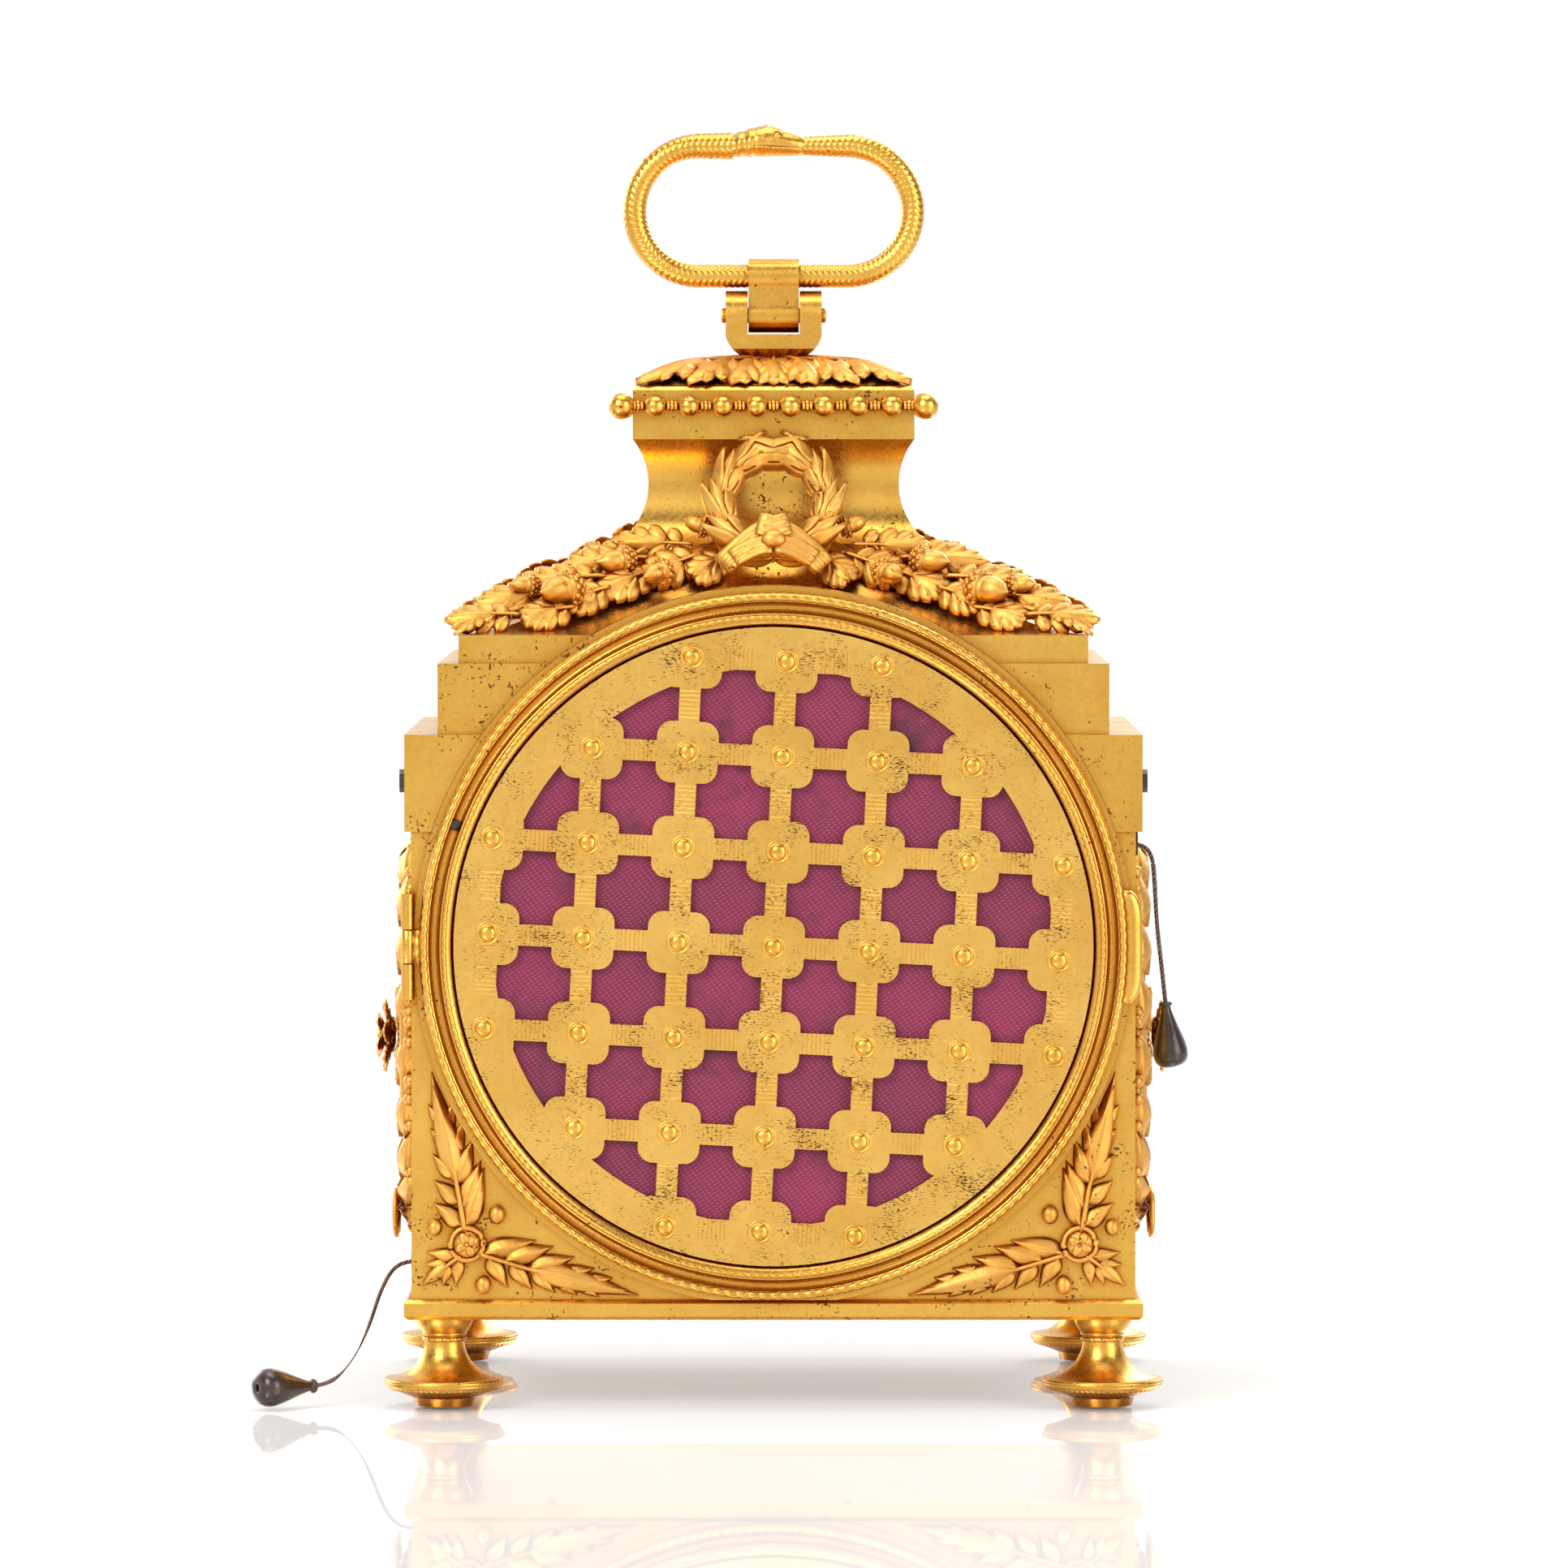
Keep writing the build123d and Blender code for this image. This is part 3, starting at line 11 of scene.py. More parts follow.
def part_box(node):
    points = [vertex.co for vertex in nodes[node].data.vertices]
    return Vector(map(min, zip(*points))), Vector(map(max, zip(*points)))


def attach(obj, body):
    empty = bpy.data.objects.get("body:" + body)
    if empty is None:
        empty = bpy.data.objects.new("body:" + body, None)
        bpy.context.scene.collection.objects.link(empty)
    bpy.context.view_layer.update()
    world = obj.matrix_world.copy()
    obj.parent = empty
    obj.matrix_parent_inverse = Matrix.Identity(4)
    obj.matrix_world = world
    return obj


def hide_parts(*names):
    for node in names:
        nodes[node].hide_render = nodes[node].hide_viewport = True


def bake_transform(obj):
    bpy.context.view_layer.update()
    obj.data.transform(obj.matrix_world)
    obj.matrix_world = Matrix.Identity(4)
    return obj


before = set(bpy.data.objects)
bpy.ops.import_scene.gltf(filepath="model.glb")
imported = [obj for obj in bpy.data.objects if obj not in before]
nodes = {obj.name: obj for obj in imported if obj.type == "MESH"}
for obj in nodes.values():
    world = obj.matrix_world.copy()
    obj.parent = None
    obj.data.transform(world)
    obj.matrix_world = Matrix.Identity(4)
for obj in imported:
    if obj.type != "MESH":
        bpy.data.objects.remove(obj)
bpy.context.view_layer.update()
MM = 0.001


def metres(point):
    return tuple(c * MM for c in point)


def middle(node):
    """The middle of a CAD node's box."""
    low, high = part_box(node)
    return (Vector(low) + Vector(high)) / 2


# ------------------------------------------------------------------ camera
CAMERA_AT = (-0.0018, 1.746, 0.1736)
CAMERA_TO = (-0.0018, 0.046, 0.1065)
bpy.context.scene.view_settings.view_transform = "Standard"
camera_data = bpy.data.cameras.new("camera")
camera_data.lens = 229.5
camera_data.sensor_width = 36
camera = bpy.data.objects.new("camera", camera_data)
bpy.context.scene.collection.objects.link(camera)
camera.location = CAMERA_AT
camera.rotation_euler = (Vector(CAMERA_TO) - Vector(CAMERA_AT)).to_track_quat("-Z", "Y").to_euler()
bpy.context.scene.camera = camera


# ------------------------------------------------------------------ materials
def node_material(name):
    """A material with a Principled shader, its node tree and a function that adds nodes."""
    mat = bpy.data.materials.new(name)
    mat.use_nodes = True
    tree = mat.node_tree
    shader = tree.nodes["Principled BSDF"]

    def add(kind, **values):
        made = tree.nodes.new(kind)
        for key, value in values.items():
            if key in made.inputs:
                made.inputs[key].default_value = value
            else:
                setattr(made, key, value)
        return made

    return mat, tree, shader, add


def ramp(add, tree, source, stops):
    """A colour ramp fed by a socket: stops are (place, grey or colour)."""
    made = add("ShaderNodeValToRGB")
    while len(made.color_ramp.elements) < len(stops):
        made.color_ramp.elements.new(0.5)
    for element, (place, colour) in zip(made.color_ramp.elements, stops):
        element.position = place
        element.color = (colour,) * 3 + (1,) if isinstance(colour, (int, float)) else (*colour, 1)
    tree.links.new(source, made.inputs["Fac"])
    return made.outputs["Color"]


def mix(add, tree, factor, a, b, blend="MIX"):
    """Mixes two colours; each of the three may be a socket or a plain value."""
    made = add("ShaderNodeMix", data_type="RGBA", blend_type=blend)
    for slot, value in ((0, factor), (6, a), (7, b)):
        if isinstance(value, bpy.types.NodeSocket):
            tree.links.new(value, made.inputs[slot])
        elif slot == 0:
            made.inputs[0].default_value = value
        else:
            made.inputs[slot].default_value = (*value, 1)
    return made.outputs[2]


def gilt(name, light, hollow_shade_colour, pits, rough=(0.22, 0.42), speckle=0.5, bump=0.25, brushed=None):
    """Old mercury gilding: bright where it is rubbed, with painted shade that darkens it to orange in the
    hollows, fine brown pits where it has worn."""
    mat, tree, shader, add = node_material(name)
    coords = add("ShaderNodeTexCoord").outputs["Object"]
    cloud = add("ShaderNodeTexNoise", Scale=70.0, Detail=6.0, Roughness=0.62)
    fine = add("ShaderNodeTexNoise", Scale=1100.0, Detail=5.0, Roughness=0.7)
    spots = add("ShaderNodeTexNoise", Scale=1500.0, Detail=2.0, Roughness=0.5)
    patches = add("ShaderNodeTexNoise", Scale=120.0, Detail=4.0, Roughness=0.6)
    for texture in (cloud, fine, patches):
        tree.links.new(coords, texture.inputs["Vector"])
    grained = coords
    if brushed:
        stretch = add("ShaderNodeMapping")
        stretch.inputs["Scale"].default_value = brushed
        stretch.inputs["Rotation"].default_value = (0, radians(-18), 0)
        tree.links.new(coords, stretch.inputs["Vector"])
        grained = stretch.outputs["Vector"]
    tree.links.new(grained, spots.inputs["Vector"])
    # painted shade: ambient occlusion darkens the colour towards the given shade colour in hollows and
    # creases
    hollow = add("ShaderNodeAmbientOcclusion", samples=8, Distance=0.004)
    hollow_shade = ramp(add, tree, hollow.outputs["AO"], ((0.22, 1.0), (0.88, 0.0)))
    tone = mix(add, tree, ramp(add, tree, cloud.outputs["Fac"], ((0.35, 0.0), (0.68, 1.0))), light,
               tuple(a * b for a, b in zip(light, (0.88, 0.80, 0.66))))
    tone = mix(add, tree, hollow_shade, tone, hollow_shade_colour)
    gathered = mix(add, tree, 0.42, spots.outputs["Fac"], patches.outputs["Fac"])
    cut = 0.635 - 0.055 * speckle
    pitted = ramp(add, tree, gathered, ((cut, 0.0), (cut + 0.035, 1.0)))
    tone = mix(add, tree, pitted, tone, pits)
    tree.links.new(tone, shader.inputs["Base Color"])
    shader.inputs["Metallic"].default_value = 1.0
    shine = ramp(add, tree, fine.outputs["Fac"], ((0.3, rough[0]), (0.7, rough[1])))
    tree.links.new(mix(add, tree, pitted, shine, (0.7,) * 3), shader.inputs["Roughness"])
    relief = fine.outputs["Fac"]
    if brushed:
        lines = add("ShaderNodeTexNoise", Scale=420.0, Detail=4.0, Roughness=0.6)
        tree.links.new(grained, lines.inputs["Vector"])
        relief = mix(add, tree, 0.65, relief, lines.outputs["Fac"])
    bumped = add("ShaderNodeBump", Strength=bump, Distance=0.0002)
    tree.links.new(mix(add, tree, pitted, relief, (0.0, 0.0, 0.0)), bumped.inputs["Height"])
    tree.links.new(bumped.outputs["Normal"], shader.inputs["Normal"])
    return mat


# the darker colour given with each gilt below is painted shade: the colour that its hollows and creases
# darken to
GOLD = (0.80, 0.47, 0.095)
GOLD_HOLLOW_SHADE = (0.50, 0.17, 0.015)
PITS = (0.17, 0.075, 0.02)
plain_gilt = gilt("plain_gilt", GOLD, GOLD_HOLLOW_SHADE, PITS, rough=(0.20, 0.34), speckle=0.55, bump=0.10)
chased_gilt = gilt("chased_gilt", (0.80, 0.45, 0.09), (0.36, 0.11, 0.008), PITS, rough=(0.20, 0.36),
                   speckle=0.2, bump=0.22)
matte_gilt = gilt("matte_gilt", (0.78, 0.42, 0.10), (0.40, 0.125, 0.010), PITS, rough=(0.32, 0.50),
                  speckle=0.1, bump=0.5)
brushed_gilt = gilt("brushed_gilt", (0.80, 0.49, 0.12), (0.42, 0.16, 0.02), (0.12, 0.065, 0.02),
                    rough=(0.24, 0.42), speckle=1.15, bump=0.3, brushed=(1.0, 1.0, 4.5))
movement_brass = gilt("movement_brass", (0.78, 0.58, 0.27), (0.45, 0.26, 0.07), (0.30, 0.18, 0.06),
                      speckle=-0.6)
bell_metal = gilt("bell_metal", (0.66, 0.55, 0.36), (0.35, 0.24, 0.12), (0.25, 0.18, 0.09), speckle=-0.4)


def simple(name, colour, dark, rough, scale, metallic=0.0, bump=0.1, coat=0.0):
    """A mottled material in two tones, with a fine bump."""
    mat, tree, shader, add = node_material(name)
    coords = add("ShaderNodeTexCoord").outputs["Object"]
    noise = add("ShaderNodeTexNoise", Scale=scale, Detail=6.0, Roughness=0.6)
    tree.links.new(coords, noise.inputs["Vector"])
    tone = mix(add, tree, ramp(add, tree, noise.outputs["Fac"], ((0.35, 0.0), (0.7, 1.0))), colour, dark)
    tree.links.new(tone, shader.inputs["Base Color"])
    tree.links.new(ramp(add, tree, noise.outputs["Fac"], ((0.3, rough[0]), (0.7, rough[1]))),
                   shader.inputs["Roughness"])
    shader.inputs["Metallic"].default_value = metallic
    shader.inputs["Coat Weight"].default_value = coat
    bumped = add("ShaderNodeBump", Strength=bump, Distance=0.0001)
    tree.links.new(noise.outputs["Fac"], bumped.inputs["Height"])
    tree.links.new(bumped.outputs["Normal"], shader.inputs["Normal"])
    return mat


dark_horn = simple("dark_horn", (0.050, 0.022, 0.014), (0.012, 0.006, 0.005), (0.22, 0.40), 700, coat=0.4)
blued_steel = simple("blued_steel", (0.03, 0.05, 0.16), (0.015, 0.02, 0.07), (0.16, 0.30), 500, metallic=1.0)
dark_steel = simple("dark_steel", (0.10, 0.085, 0.07), (0.04, 0.03, 0.025), (0.30, 0.5), 900, metallic=1.0)
enamel = simple("enamel", (0.80, 0.79, 0.74), (0.74, 0.72, 0.66), (0.08, 0.14), 60, coat=0.5, bump=0.02)
numeral_black = simple("numeral_black", (0.012, 0.011, 0.012), (0.02, 0.018, 0.02), (0.2, 0.3), 400)


def cord_material():
    """A thin dark braided cord with frayed pale fibres."""
    mat, tree, shader, add = node_material("cord_braid")
    coords = add("ShaderNodeTexCoord").outputs["Object"]
    waves = add("ShaderNodeTexWave", Scale=700.0, Distortion=2.0, Detail=2.0, bands_direction="DIAGONAL")
    noise = add("ShaderNodeTexNoise", Scale=1500.0, Detail=4.0)
    tree.links.new(coords, waves.inputs["Vector"])
    tree.links.new(coords, noise.inputs["Vector"])
    strands = ramp(add, tree, waves.outputs["Fac"], ((0.2, (0.035, 0.016, 0.012)), (0.8, (0.19, 0.10, 0.07))))
    tone = mix(add, tree, ramp(add, tree, noise.outputs["Fac"], ((0.55, 0.0), (0.75, 1.0))), strands,
               (0.30, 0.20, 0.15))
    tree.links.new(tone, shader.inputs["Base Color"])
    shader.inputs["Roughness"].default_value = 0.85
    shader.inputs["Sheen Weight"].default_value = 0.3
    bumped = add("ShaderNodeBump", Strength=0.6, Distance=0.0001)
    tree.links.new(waves.outputs["Fac"], bumped.inputs["Height"])
    tree.links.new(bumped.outputs["Normal"], shader.inputs["Normal"])
    return mat


def silk_material():
    """Crimson purple silk twill: fine diagonal pale threads, darker stains and a soft sheen."""
    mat, tree, shader, add = node_material("silk_twill")
    coords = add("ShaderNodeTexCoord").outputs["Object"]

    def slanted(angle, scale):
        turned = add("ShaderNodeMapping")
        turned.inputs["Rotation"].default_value = (0, radians(angle), 0)
        tree.links.new(coords, turned.inputs["Vector"])
        lines = add("ShaderNodeTexWave", Scale=scale, Distortion=0.9, Detail=2.0, bands_direction="X")
        lines.inputs["Detail Scale"].default_value = 2.0
        tree.links.new(turned.outputs["Vector"], lines.inputs["Vector"])
        return lines.outputs["Fac"]

    twill = slanted(58, 520)
    weft = slanted(-38, 390)
    stains = add("ShaderNodeTexNoise", Scale=75.0, Detail=5.0, Roughness=0.65)
    drift = add("ShaderNodeTexNoise", Scale=38.0, Detail=3.0)
    for texture in (stains, drift):
        tree.links.new(coords, texture.inputs["Vector"])
    tone = mix(add, tree, ramp(add, tree, drift.outputs["Fac"], ((0.35, 0.0), (0.68, 1.0))),
               (0.16, 0.004, 0.038), (0.25, 0.008, 0.058))
    thread = mix(add, tree, 1.0, ramp(add, tree, twill, ((0.55, 0.0), (0.95, 1.0))),
                 ramp(add, tree, weft, ((0.30, 0.15), (0.80, 1.0))), blend="MULTIPLY")
    tone = mix(add, tree, mix(add, tree, 1.0, thread, (0.42,) * 3, blend="MULTIPLY"), tone,
               (0.50, 0.14, 0.25))
    tone = mix(add, tree, ramp(add, tree, stains.outputs["Fac"], ((0.54, 0.0), (0.70, 0.85))), tone,
               (0.060, 0.008, 0.020))
    tree.links.new(tone, shader.inputs["Base Color"])
    shader.inputs["Roughness"].default_value = 0.55
    shader.inputs["Sheen Weight"].default_value = 0.08
    shader.inputs["Sheen Roughness"].default_value = 0.4
    bumped = add("ShaderNodeBump", Strength=0.5, Distance=0.0001)
    tree.links.new(thread, bumped.inputs["Height"])
    tree.links.new(bumped.outputs["Normal"], shader.inputs["Normal"])
    return mat


def glass_material():
    """Clear bevelled glass with the faintest haze of old polish."""
    mat, tree, shader, add = node_material("clear_glass")
    coords = add("ShaderNodeTexCoord").outputs["Object"]
    haze = add("ShaderNodeTexNoise", Scale=40.0, Detail=6.0)
    tree.links.new(coords, haze.inputs["Vector"])
    tree.links.new(ramp(add, tree, haze.outputs["Fac"], ((0.4, 0.0), (0.8, 0.03))),
                   shader.inputs["Roughness"])
    shader.inputs["Base Color"].default_value = (0.97, 0.985, 0.98, 1)
    shader.inputs["Transmission Weight"].default_value = 1.0
    shader.inputs["IOR"].default_value = 1.46
    return mat


cord_braid = cord_material()
silk_twill = silk_material()
clear_glass = glass_material()


# ------------------------------------------------------------------ mesh helpers
def piece(name, bm, material, body, smooth=True):
    """Turns a bmesh, in millimetres, into a piece that rides on a body."""
    bmesh.ops.scale(bm, vec=(MM, MM, MM), verts=bm.verts)
    bmesh.ops.recalc_face_normals(bm, faces=bm.faces)
    for face in bm.faces:
        face.smooth = smooth
    mesh = bpy.data.meshes.new(name)
    bm.to_mesh(mesh)
    bm.free()
    obj = bpy.data.objects.new(name, mesh)
    bpy.context.scene.collection.objects.link(obj)
    for mat in material if isinstance(material, (list, tuple)) else (material,):
        mesh.materials.append(mat)
    if body:
        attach(obj, body)
    return obj


def grid_faces(bm, rows, close_u=False, close_v=False):
    """Joins rows of vertices with quads."""
    count = len(rows)
    width = len(rows[0])
    for i in range(count if close_u else count - 1):
        a, b = rows[i], rows[(i + 1) % count]
        for j in range(width if close_v else width - 1):
            k = (j + 1) % width
            bm.faces.new((a[j], a[k], b[k], b[j]))


def placed(origin, along, up):
    """A matrix with x along one direction and z as near as it can be to another."""
    x = Vector(along).normalized()
    y = Vector(up).cross(x).normalized()
    z = x.cross(y)
    turn = Matrix((x, y, z)).transposed().to_4x4()
    turn.translation = Vector(origin)
    return turn


def add_blade(bm, put, foot, turn, length, width, lift=(0.5, 0.4), blunt=False, fold=0.20, vein=0.09, steps=9,
              across=8):
    """One closed lobe on a surface: put(x, y, h) gives a point, foot is where the lobe starts and turn its
    direction.

    lift is the height at the foot and the tip; fold is how far the edges fall below the ridge; blunt rounds
    the tip.
    """
    c, s_ = cos(turn), sin(turn)
    top = []
    low = []
    for i in range(steps + 1):
        u = i / steps
        if blunt:
            opening = (1 - (1 - min(1.0, u / 0.45)) ** 2) ** 0.5
            closing = (1 - max(0.0, (u - 0.55) / 0.45) ** 2.6) ** 0.5
        else:
            opening = (1 - (1 - min(1.0, u / 0.42)) ** 2) ** 0.5
            closing = 1 - max(0.0, (u - 0.30) / 0.70) ** 1.5
        half = 0.5 * width * opening * closing
        half = max(half, 0.03 * width)
        crest = lift[0] + (lift[1] - lift[0]) * u + 0.10 * width * sin(pi * u)
        row_top = []
        row_low = []
        for j in range(-across // 2, across // 2 + 1):
            v = 2 * j / across
            x = length * u
            y = half * v
            h = crest - fold * width * v * v + (vein * width * (1 - u) if j == 0 else 0)
            spot = (foot[0] + c * x - s_ * y, foot[1] + s_ * x + c * y)
            row_top.append(bm.verts.new(put(*spot, h)))
            row_low.append(row_top[-1] if abs(v) == 1 else
                           bm.verts.new(put(*spot, crest - fold * width - 0.08 * width * (1 - v * v))))
        top.append(row_top)
        low.append(row_low)
    grid_faces(bm, top)
    grid_faces(bm, [list(reversed(r)) for r in low])
    for row_top, row_low in ((top[0], low[0]), (top[-1], low[-1])):
        bm.faces.new(row_top + list(reversed(row_low[1:-1])))


def add_frond(bm, put, base, tip, lobes, width, lift=(0.9, 0.5), blunt=False, bend=0.0, rib=0.34):
    """A lobed leaf: a middle blade, side lobes as (share along it, side, reach, angle in degrees, width) and
    a rib."""
    base = Vector(base)
    run = Vector(tip) - base
    heading = atan2(run.y, run.x)
    across = Vector((-run.y, run.x)).normalized()

    def rib_point(u):
        return base + run * u + across * (bend * run.length * sin(pi * u))

    for number, (u, side, reach, angle, lobe_width) in enumerate(lobes):
        raised = lift[0] + (lift[1] - lift[0]) * u
        add_blade(bm, put, rib_point(u), heading + side * radians(angle), reach, lobe_width,
                  lift=(raised + 0.05 * (number % 3), 0.55 * raised + 0.05 * (number % 2)), blunt=blunt)
    middle_u = 0.30
    middle_at = rib_point(middle_u)
    add_blade(bm, put, middle_at, heading, run.length * (1 - middle_u), width,
              lift=(lift[0] + 0.1, lift[1] + 0.1), blunt=blunt,
              steps=14)
    line = []
    for n in range(15):
        u = 0.92 * n / 14
        p = rib_point(u)
        line.append(put(p.x, p.y, (lift[0] + (lift[1] - lift[0]) * u) + 0.28))
    add_tube(bm, line, lambda i: rib * (1 - 0.045 * i), around=8)


OAK = ((0.16, 1, 0.34, 58, 0.30), (0.16, -1, 0.34, 58, 0.30), (0.34, 1, 0.42, 50, 0.32),
       (0.34, -1, 0.42, 50, 0.32), (0.52, 1, 0.40, 44, 0.30), (0.52, -1, 0.40, 44, 0.30),
       (0.70, 1, 0.30, 36, 0.26), (0.70, -1, 0.30, 36, 0.26))
ACANTHUS = OAK + ((0.06, 1, 0.28, 64, 0.28), (0.06, -1, 0.28, 64, 0.28))


def add_oak_leaf(bm, place, length, width, sag=0.0, lobes=OAK, cup=0.0, crest=0.0):
    """An oak leaf in a placed frame, x along it; it sags along its length, cups across it and may arch by
    crest."""
    def put(x, y, h):
        arch = crest * sin(pi * min(1.0, max(0.0, x / length)))
        return place @ Vector((x, y, h - sag * x * x / length + cup * y * y / width + arch))

    sized = [(u, side, reach * width * 1.35, angle, lobe * width * 1.15) for u, side, reach, angle,
             lobe in lobes]
    add_frond(bm, put, (0, 0), (length, 0), sized, 0.46 * width, lift=(0.75, 0.55), blunt=True,
              rib=0.045 * width)


def add_ball(bm, place, size, rings=10, around=16):
    """An ellipsoid with its own three half sizes, in a placed frame."""
    poles = [bm.verts.new(place @ Vector((0, 0, end * size[2]))) for end in (1, -1)]
    rows = [[bm.verts.new(place @ Vector((size[0] * sin(t) * cos(2 * pi * k / around),
                                          size[1] * sin(t) * sin(2 * pi * k / around),
                                          size[2] * cos(t)))) for k in range(around)]
            for t in [pi * i / rings for i in range(1, rings)]]
    grid_faces(bm, rows, close_v=True)
    for k in range(around):
        after = (k + 1) % around
        bm.faces.new((poles[0], rows[0][k], rows[0][after]))
        bm.faces.new((poles[1], rows[-1][after], rows[-1][k]))


def add_ribbon(bm, points, ups, width, flutes=3, thick=0.5):
    """A fluted flat ribbon along points; ups gives its face's direction at each."""
    rows = []
    steps = 4 * flutes
    for i, (p, up) in enumerate(zip(points, ups)):
        along = (points[min(i + 1, len(points) - 1)] - points[max(i - 1, 0)]).normalized()
        side = along.cross(up).normalized()
        out = side.cross(along).normalized()
        row = [bm.verts.new(p + side * (width * (k / steps - 0.5)) + out
                            * (thick * (0.75 + 0.45 * abs(sin(pi * flutes * k / steps)))))
               for k in range(steps + 1)]
        row += [bm.verts.new(p + side * (width * sx) - out * 0.2) for sx in (0.5, -0.5)]
        rows.append(row)
    grid_faces(bm, rows, close_v=True)
    bm.faces.new(list(reversed(rows[0])))
    bm.faces.new(rows[-1])


def add_lathe(bm, place, profile, around=40):
    """Turns a profile of (radius, height) points round the placed frame's z axis; ends on the axis are
    closed."""
    rows = []
    for r, h in profile:
        if r < 1e-6:
            rows.append([bm.verts.new(place @ Vector((0, 0, h)))])
        else:
            rows.append([bm.verts.new(place @ Vector((r * cos(2 * pi * k / around),
                                                      r * sin(2 * pi * k / around), h)))
                         for k in range(around)])
    for a, b in zip(rows, rows[1:]):
        for k in range(around):
            m = (k + 1) % around
            if len(a) == 1 and len(b) > 1:
                bm.faces.new((a[0], b[m], b[k]))
            elif len(b) == 1 and len(a) > 1:
                bm.faces.new((a[k], a[m], b[0]))
            elif len(a) > 1:
                bm.faces.new((a[k], a[m], b[m], b[k]))


def add_tube(bm, points, radius, around=10, closed=False, relief=None):
    """A round tube along points; relief(i, k) scales its radius, and radius may be a function of the
    index."""
    count = len(points)
    rows = []
    up = Vector((0.013, 0.021, 1))
    for i, p in enumerate(points):
        if closed:
            along = (points[(i + 1) % count] - points[i - 1]).normalized()
        else:
            along = (points[min(i + 1, count - 1)] - points[max(i - 1, 0)]).normalized()
        side = along.cross(up).normalized() if abs(along.dot(up.normalized())) < 0.98 else along.orthogonal()
        over = side.cross(along).normalized()
        r = radius(i) if callable(radius) else radius
        row = []
        for k in range(around):
            turn = 2 * pi * k / around
            grow = r * (relief(i, k) if relief else 1)
            row.append(bm.verts.new(p + side * (grow * cos(turn)) + over * (grow * sin(turn))))
        rows.append(row)
    grid_faces(bm, rows, close_u=closed, close_v=True)
    if not closed:
        bm.faces.new(list(reversed(rows[0])))
        bm.faces.new(rows[-1])
    return rows


def add_rope_ring(bm, place, radius, thick, ridges, around=8, per=5):
    """A rope-twist ring: strands that wind round a circle."""
    count = ridges * per
    rows = []
    for i in range(count):
        turn = 2 * pi * i / count
        row = []
        for k in range(around):
            angle = 2 * pi * k / around
            wave = abs(cos(0.5 * (ridges * turn + angle)))
            r = thick * (0.74 + 0.30 * wave)
            row.append(bm.verts.new(place @ Vector(((radius + r * cos(angle)) * cos(turn),
                                                    (radius + r * cos(angle)) * sin(turn), r * sin(angle)))))
        rows.append(row)
    grid_faces(bm, rows, close_u=True, close_v=True)


# ------------------------------------------------------------------ sizes read from the frame
walls_low, walls_high = [Vector(v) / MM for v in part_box("case_walls")]
HALF_W = walls_high.x
HALF_D = walls_high.y
BASE_TOP = walls_low.z
bezel_low, bezel_high = [Vector(v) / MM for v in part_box("rear_door_bezel")]
FACE_Z = (bezel_low.z + bezel_high.z) / 2
DOOR_R = (bezel_high.z - bezel_low.z) / 2
DOOR_BACK = bezel_low.y
DOOR_T = bezel_high.y - bezel_low.y
grille_low, grille_high = [Vector(v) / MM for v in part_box("grille")]
block_low, block_high = [Vector(v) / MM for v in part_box("top_block")]
BLOCK_HALF = block_high.x
BLOCK_DEEP = block_high.y
top_low, top_high = [Vector(v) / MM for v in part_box("case_top")]
ROOF_Z = top_low.z + 33.4
NECK_Z = ROOF_Z + 15.2
STEP3_IN = 8.1  # third step's side, in from the wall
STEP3_BACK = 1.2  # third step's face, in from the wall
ROOF_HALF = HALF_W - STEP3_IN
ROOF_DEEP = HALF_D - STEP3_BACK


# ------------------------------------------------------------------ pull cords and their pears
CORD_D = 0.7
REPEAT_ROUTE = [(-60.6, 27.0, 95.5), (-63.3, 27.0, 95.5), (-65.2, 27.3, 93.6), (-65.6, 27.8, 89.0),
                (-65.9, 28.4, 82.0), (-66.7, 28.9, 75.0), (-67.4, 29.2, 68.4)]
ALARM_ROUTE = [(60.6, 20.0, 22.9), (63.3, 20.0, 22.9), (66.0, 20.9, 21.6), (68.0, 22.8, 17.8),
               (69.6, 26.0, 12.6), (71.6, 30.2, 7.9), (74.2, 34.8, 4.6), (76.4, 38.4, 3.4),
               (78.4, 41.2, 3.25)]


def route_line(route):
    """The points along the smooth spline that the route's points control, in mm."""
    data = bpy.data.curves.new("route", "CURVE")
    data.dimensions = "3D"
    data.resolution_u = 16
    spline = data.splines.new("NURBS")
    spline.points.add(len(route) - 1)
    for point, place in zip(spline.points, route):
        point.co = (*(c * MM for c in place), 1)
    spline.order_u = 3
    spline.use_endpoint_u = True
    obj = bpy.data.objects.new("route", data)
    mesh = bpy.data.meshes.new_from_object(obj)
    line = [v.co / MM for v in mesh.vertices]
    bpy.data.objects.remove(obj)
    bpy.data.meshes.remove(mesh)
    bpy.data.curves.remove(data)
    return line


def pull_cord(name, route, thin):
    """A braided cord along its route; thin gives each control point's share of the full thickness."""
    line = route_line(route)
    last = len(line) - 1

    def girth(i):
        spot = i / last * (len(thin) - 1)
        low = min(int(spot), len(thin) - 2)
        return CORD_D / 2 * (thin[low] + (thin[low + 1] - thin[low]) * (spot - low))

    def braid(i, k):
        return 1 + 0.07 * sin(i * 1.3 + k * 2 * pi / 3) * sin(i * 1.3 - k * 2 * pi / 3)

    bm = bmesh.new()
    add_tube(bm, line, girth, around=12, relief=braid)
    fine = [p for i, p in enumerate(line) if i % 2 == 0 or i == last]
    obj = piece(name, bm, cord_braid, None)
    metres(route[1])
    metres(route[-1])
    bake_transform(obj)
    metres(route[0])
    [metres(p) for p in fine]
    return obj


